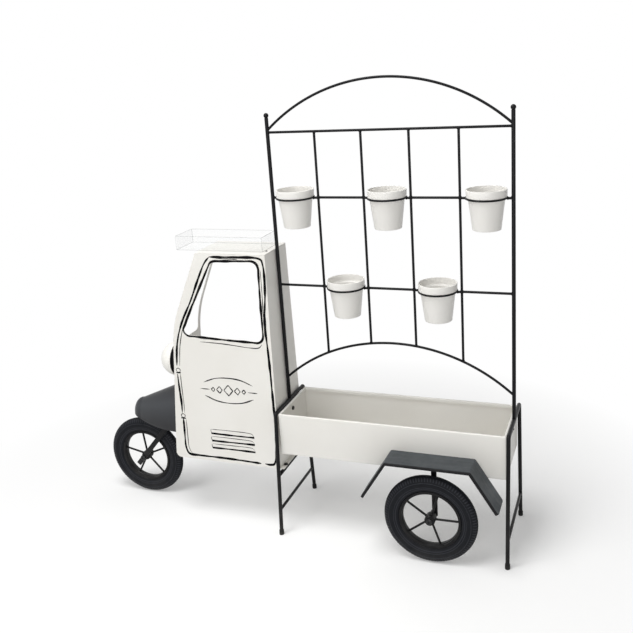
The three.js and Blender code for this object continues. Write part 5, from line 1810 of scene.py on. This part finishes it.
def fender_face(inset):
    """y = -half cos a, z = edge + (top - edge) sin a, with half, top and edge as functions of x."""
    tip, base = fender_low[0], fender_low[2]
    run = FENDER_NOSE_HEIGHT / 2
    rise = np.sin(np.linspace(0, math.pi / 2, 28))
    share = np.linspace(0, 1, 40)[1:]
    raised = FENDER_EDGE[0][1] * MM
    height = FENDER_NOSE_HEIGHT + share * (FENDER_REAR_HEIGHT - FENDER_NOSE_HEIGHT)
    half = height * FENDER_FLATNESS + share * (1 - share) * FENDER_BULGE
    nose = (raised + (FENDER_NOSE_HEIGHT - raised - inset) * rise,
            (FENDER_NOSE_HEIGHT * FENDER_FLATNESS - inset) * rise)
    height, half = (np.concatenate([first, rest - inset]) for first, rest in zip(nose, (height, half)))
    nose_x_part = tip + run - (run - inset) * np.sqrt(1 - rise ** 2)
    x = np.concatenate([nose_x_part, tip + run + share * (TOE_X + WAIST[0] - tip - run)])
    turn = np.linspace(0, math.pi, FENDER_ACROSS)[None]
    edge = np.minimum(edge_height(x), height)[:, None]
    edge[0] = height[0]
    lift = edge + (height[:, None] - edge) * np.sin(turn)
    from_edge = np.minimum(np.arange(FENDER_ACROSS), np.arange(FENDER_ACROSS)[::-1])
    hem = HEM_PROUD * np.clip(HEM_ROWS - from_edge, 0, 1) * (inset == 0)
    wide = np.cos(turn) * (half[:, None] + hem * np.minimum(half / run, 1)[:, None])
    grid = np.stack([np.broadcast_to(x[:, None], lift.shape), ORIGIN[1] - wide, base + lift], -1)
    grid[..., 0] = np.minimum(grid[..., 0], nose_x(grid[..., 2]) - GAP)
    return grid


piece("fender_sheet", [shell(fender_face(0), fender_face(FENDER_SHEET))], fender_paint, ["front_fender"])

# %% [markdown]
# ## Roof tray
# A shallow box of clear sheet stands on the roof. It is a trough like the planter, with polished edges and a
# wall of real thickness. Its finish is see-through: next to nothing on the faces, a faint grey on the edges,
# painted in for the refraction in the edges and the reflection at a glancing view.

# %% Roof tray
TRAY_WALL = 3 * MM
TRAY_CORNER = 1.2 * MM
tray_low, tray_high = box("roof_tray")
foot_z, rim_z = tray_low[2], tray_high[2]
outside = [(40 * MM, foot_z), (0, foot_z), (0, foot_z + 20 * MM)]
rim_line = [(0, rim_z - 5 * MM), (0, rim_z), (TRAY_WALL, rim_z), (TRAY_WALL, rim_z - 5 * MM)]
inside = [(TRAY_WALL, foot_z + 20 * MM), (TRAY_WALL, foot_z + TRAY_WALL), (40 * MM, foot_z + TRAY_WALL)]
eases = (0.6 * MM, 0.4 * MM, 0.6 * MM)
tray_profile = np.vstack([bent(line, ease, 4) for line, ease in zip((outside, rim_line, inside), eases)])
tray = trough(tray_low, tray_high, tray_profile, TRAY_CORNER)
piece("clear_tray_box", [tray], tray_acrylic, ["roof_tray"], body="tray")

# %% [markdown]
# ## The end
# The box of everything that shows is worked out, and the pieces and their faces are counted.

# %% Sizes and counts
low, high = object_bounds()
print("pieces:", len(made), "faces:", sum(len(thing.data.polygons) for thing in made))
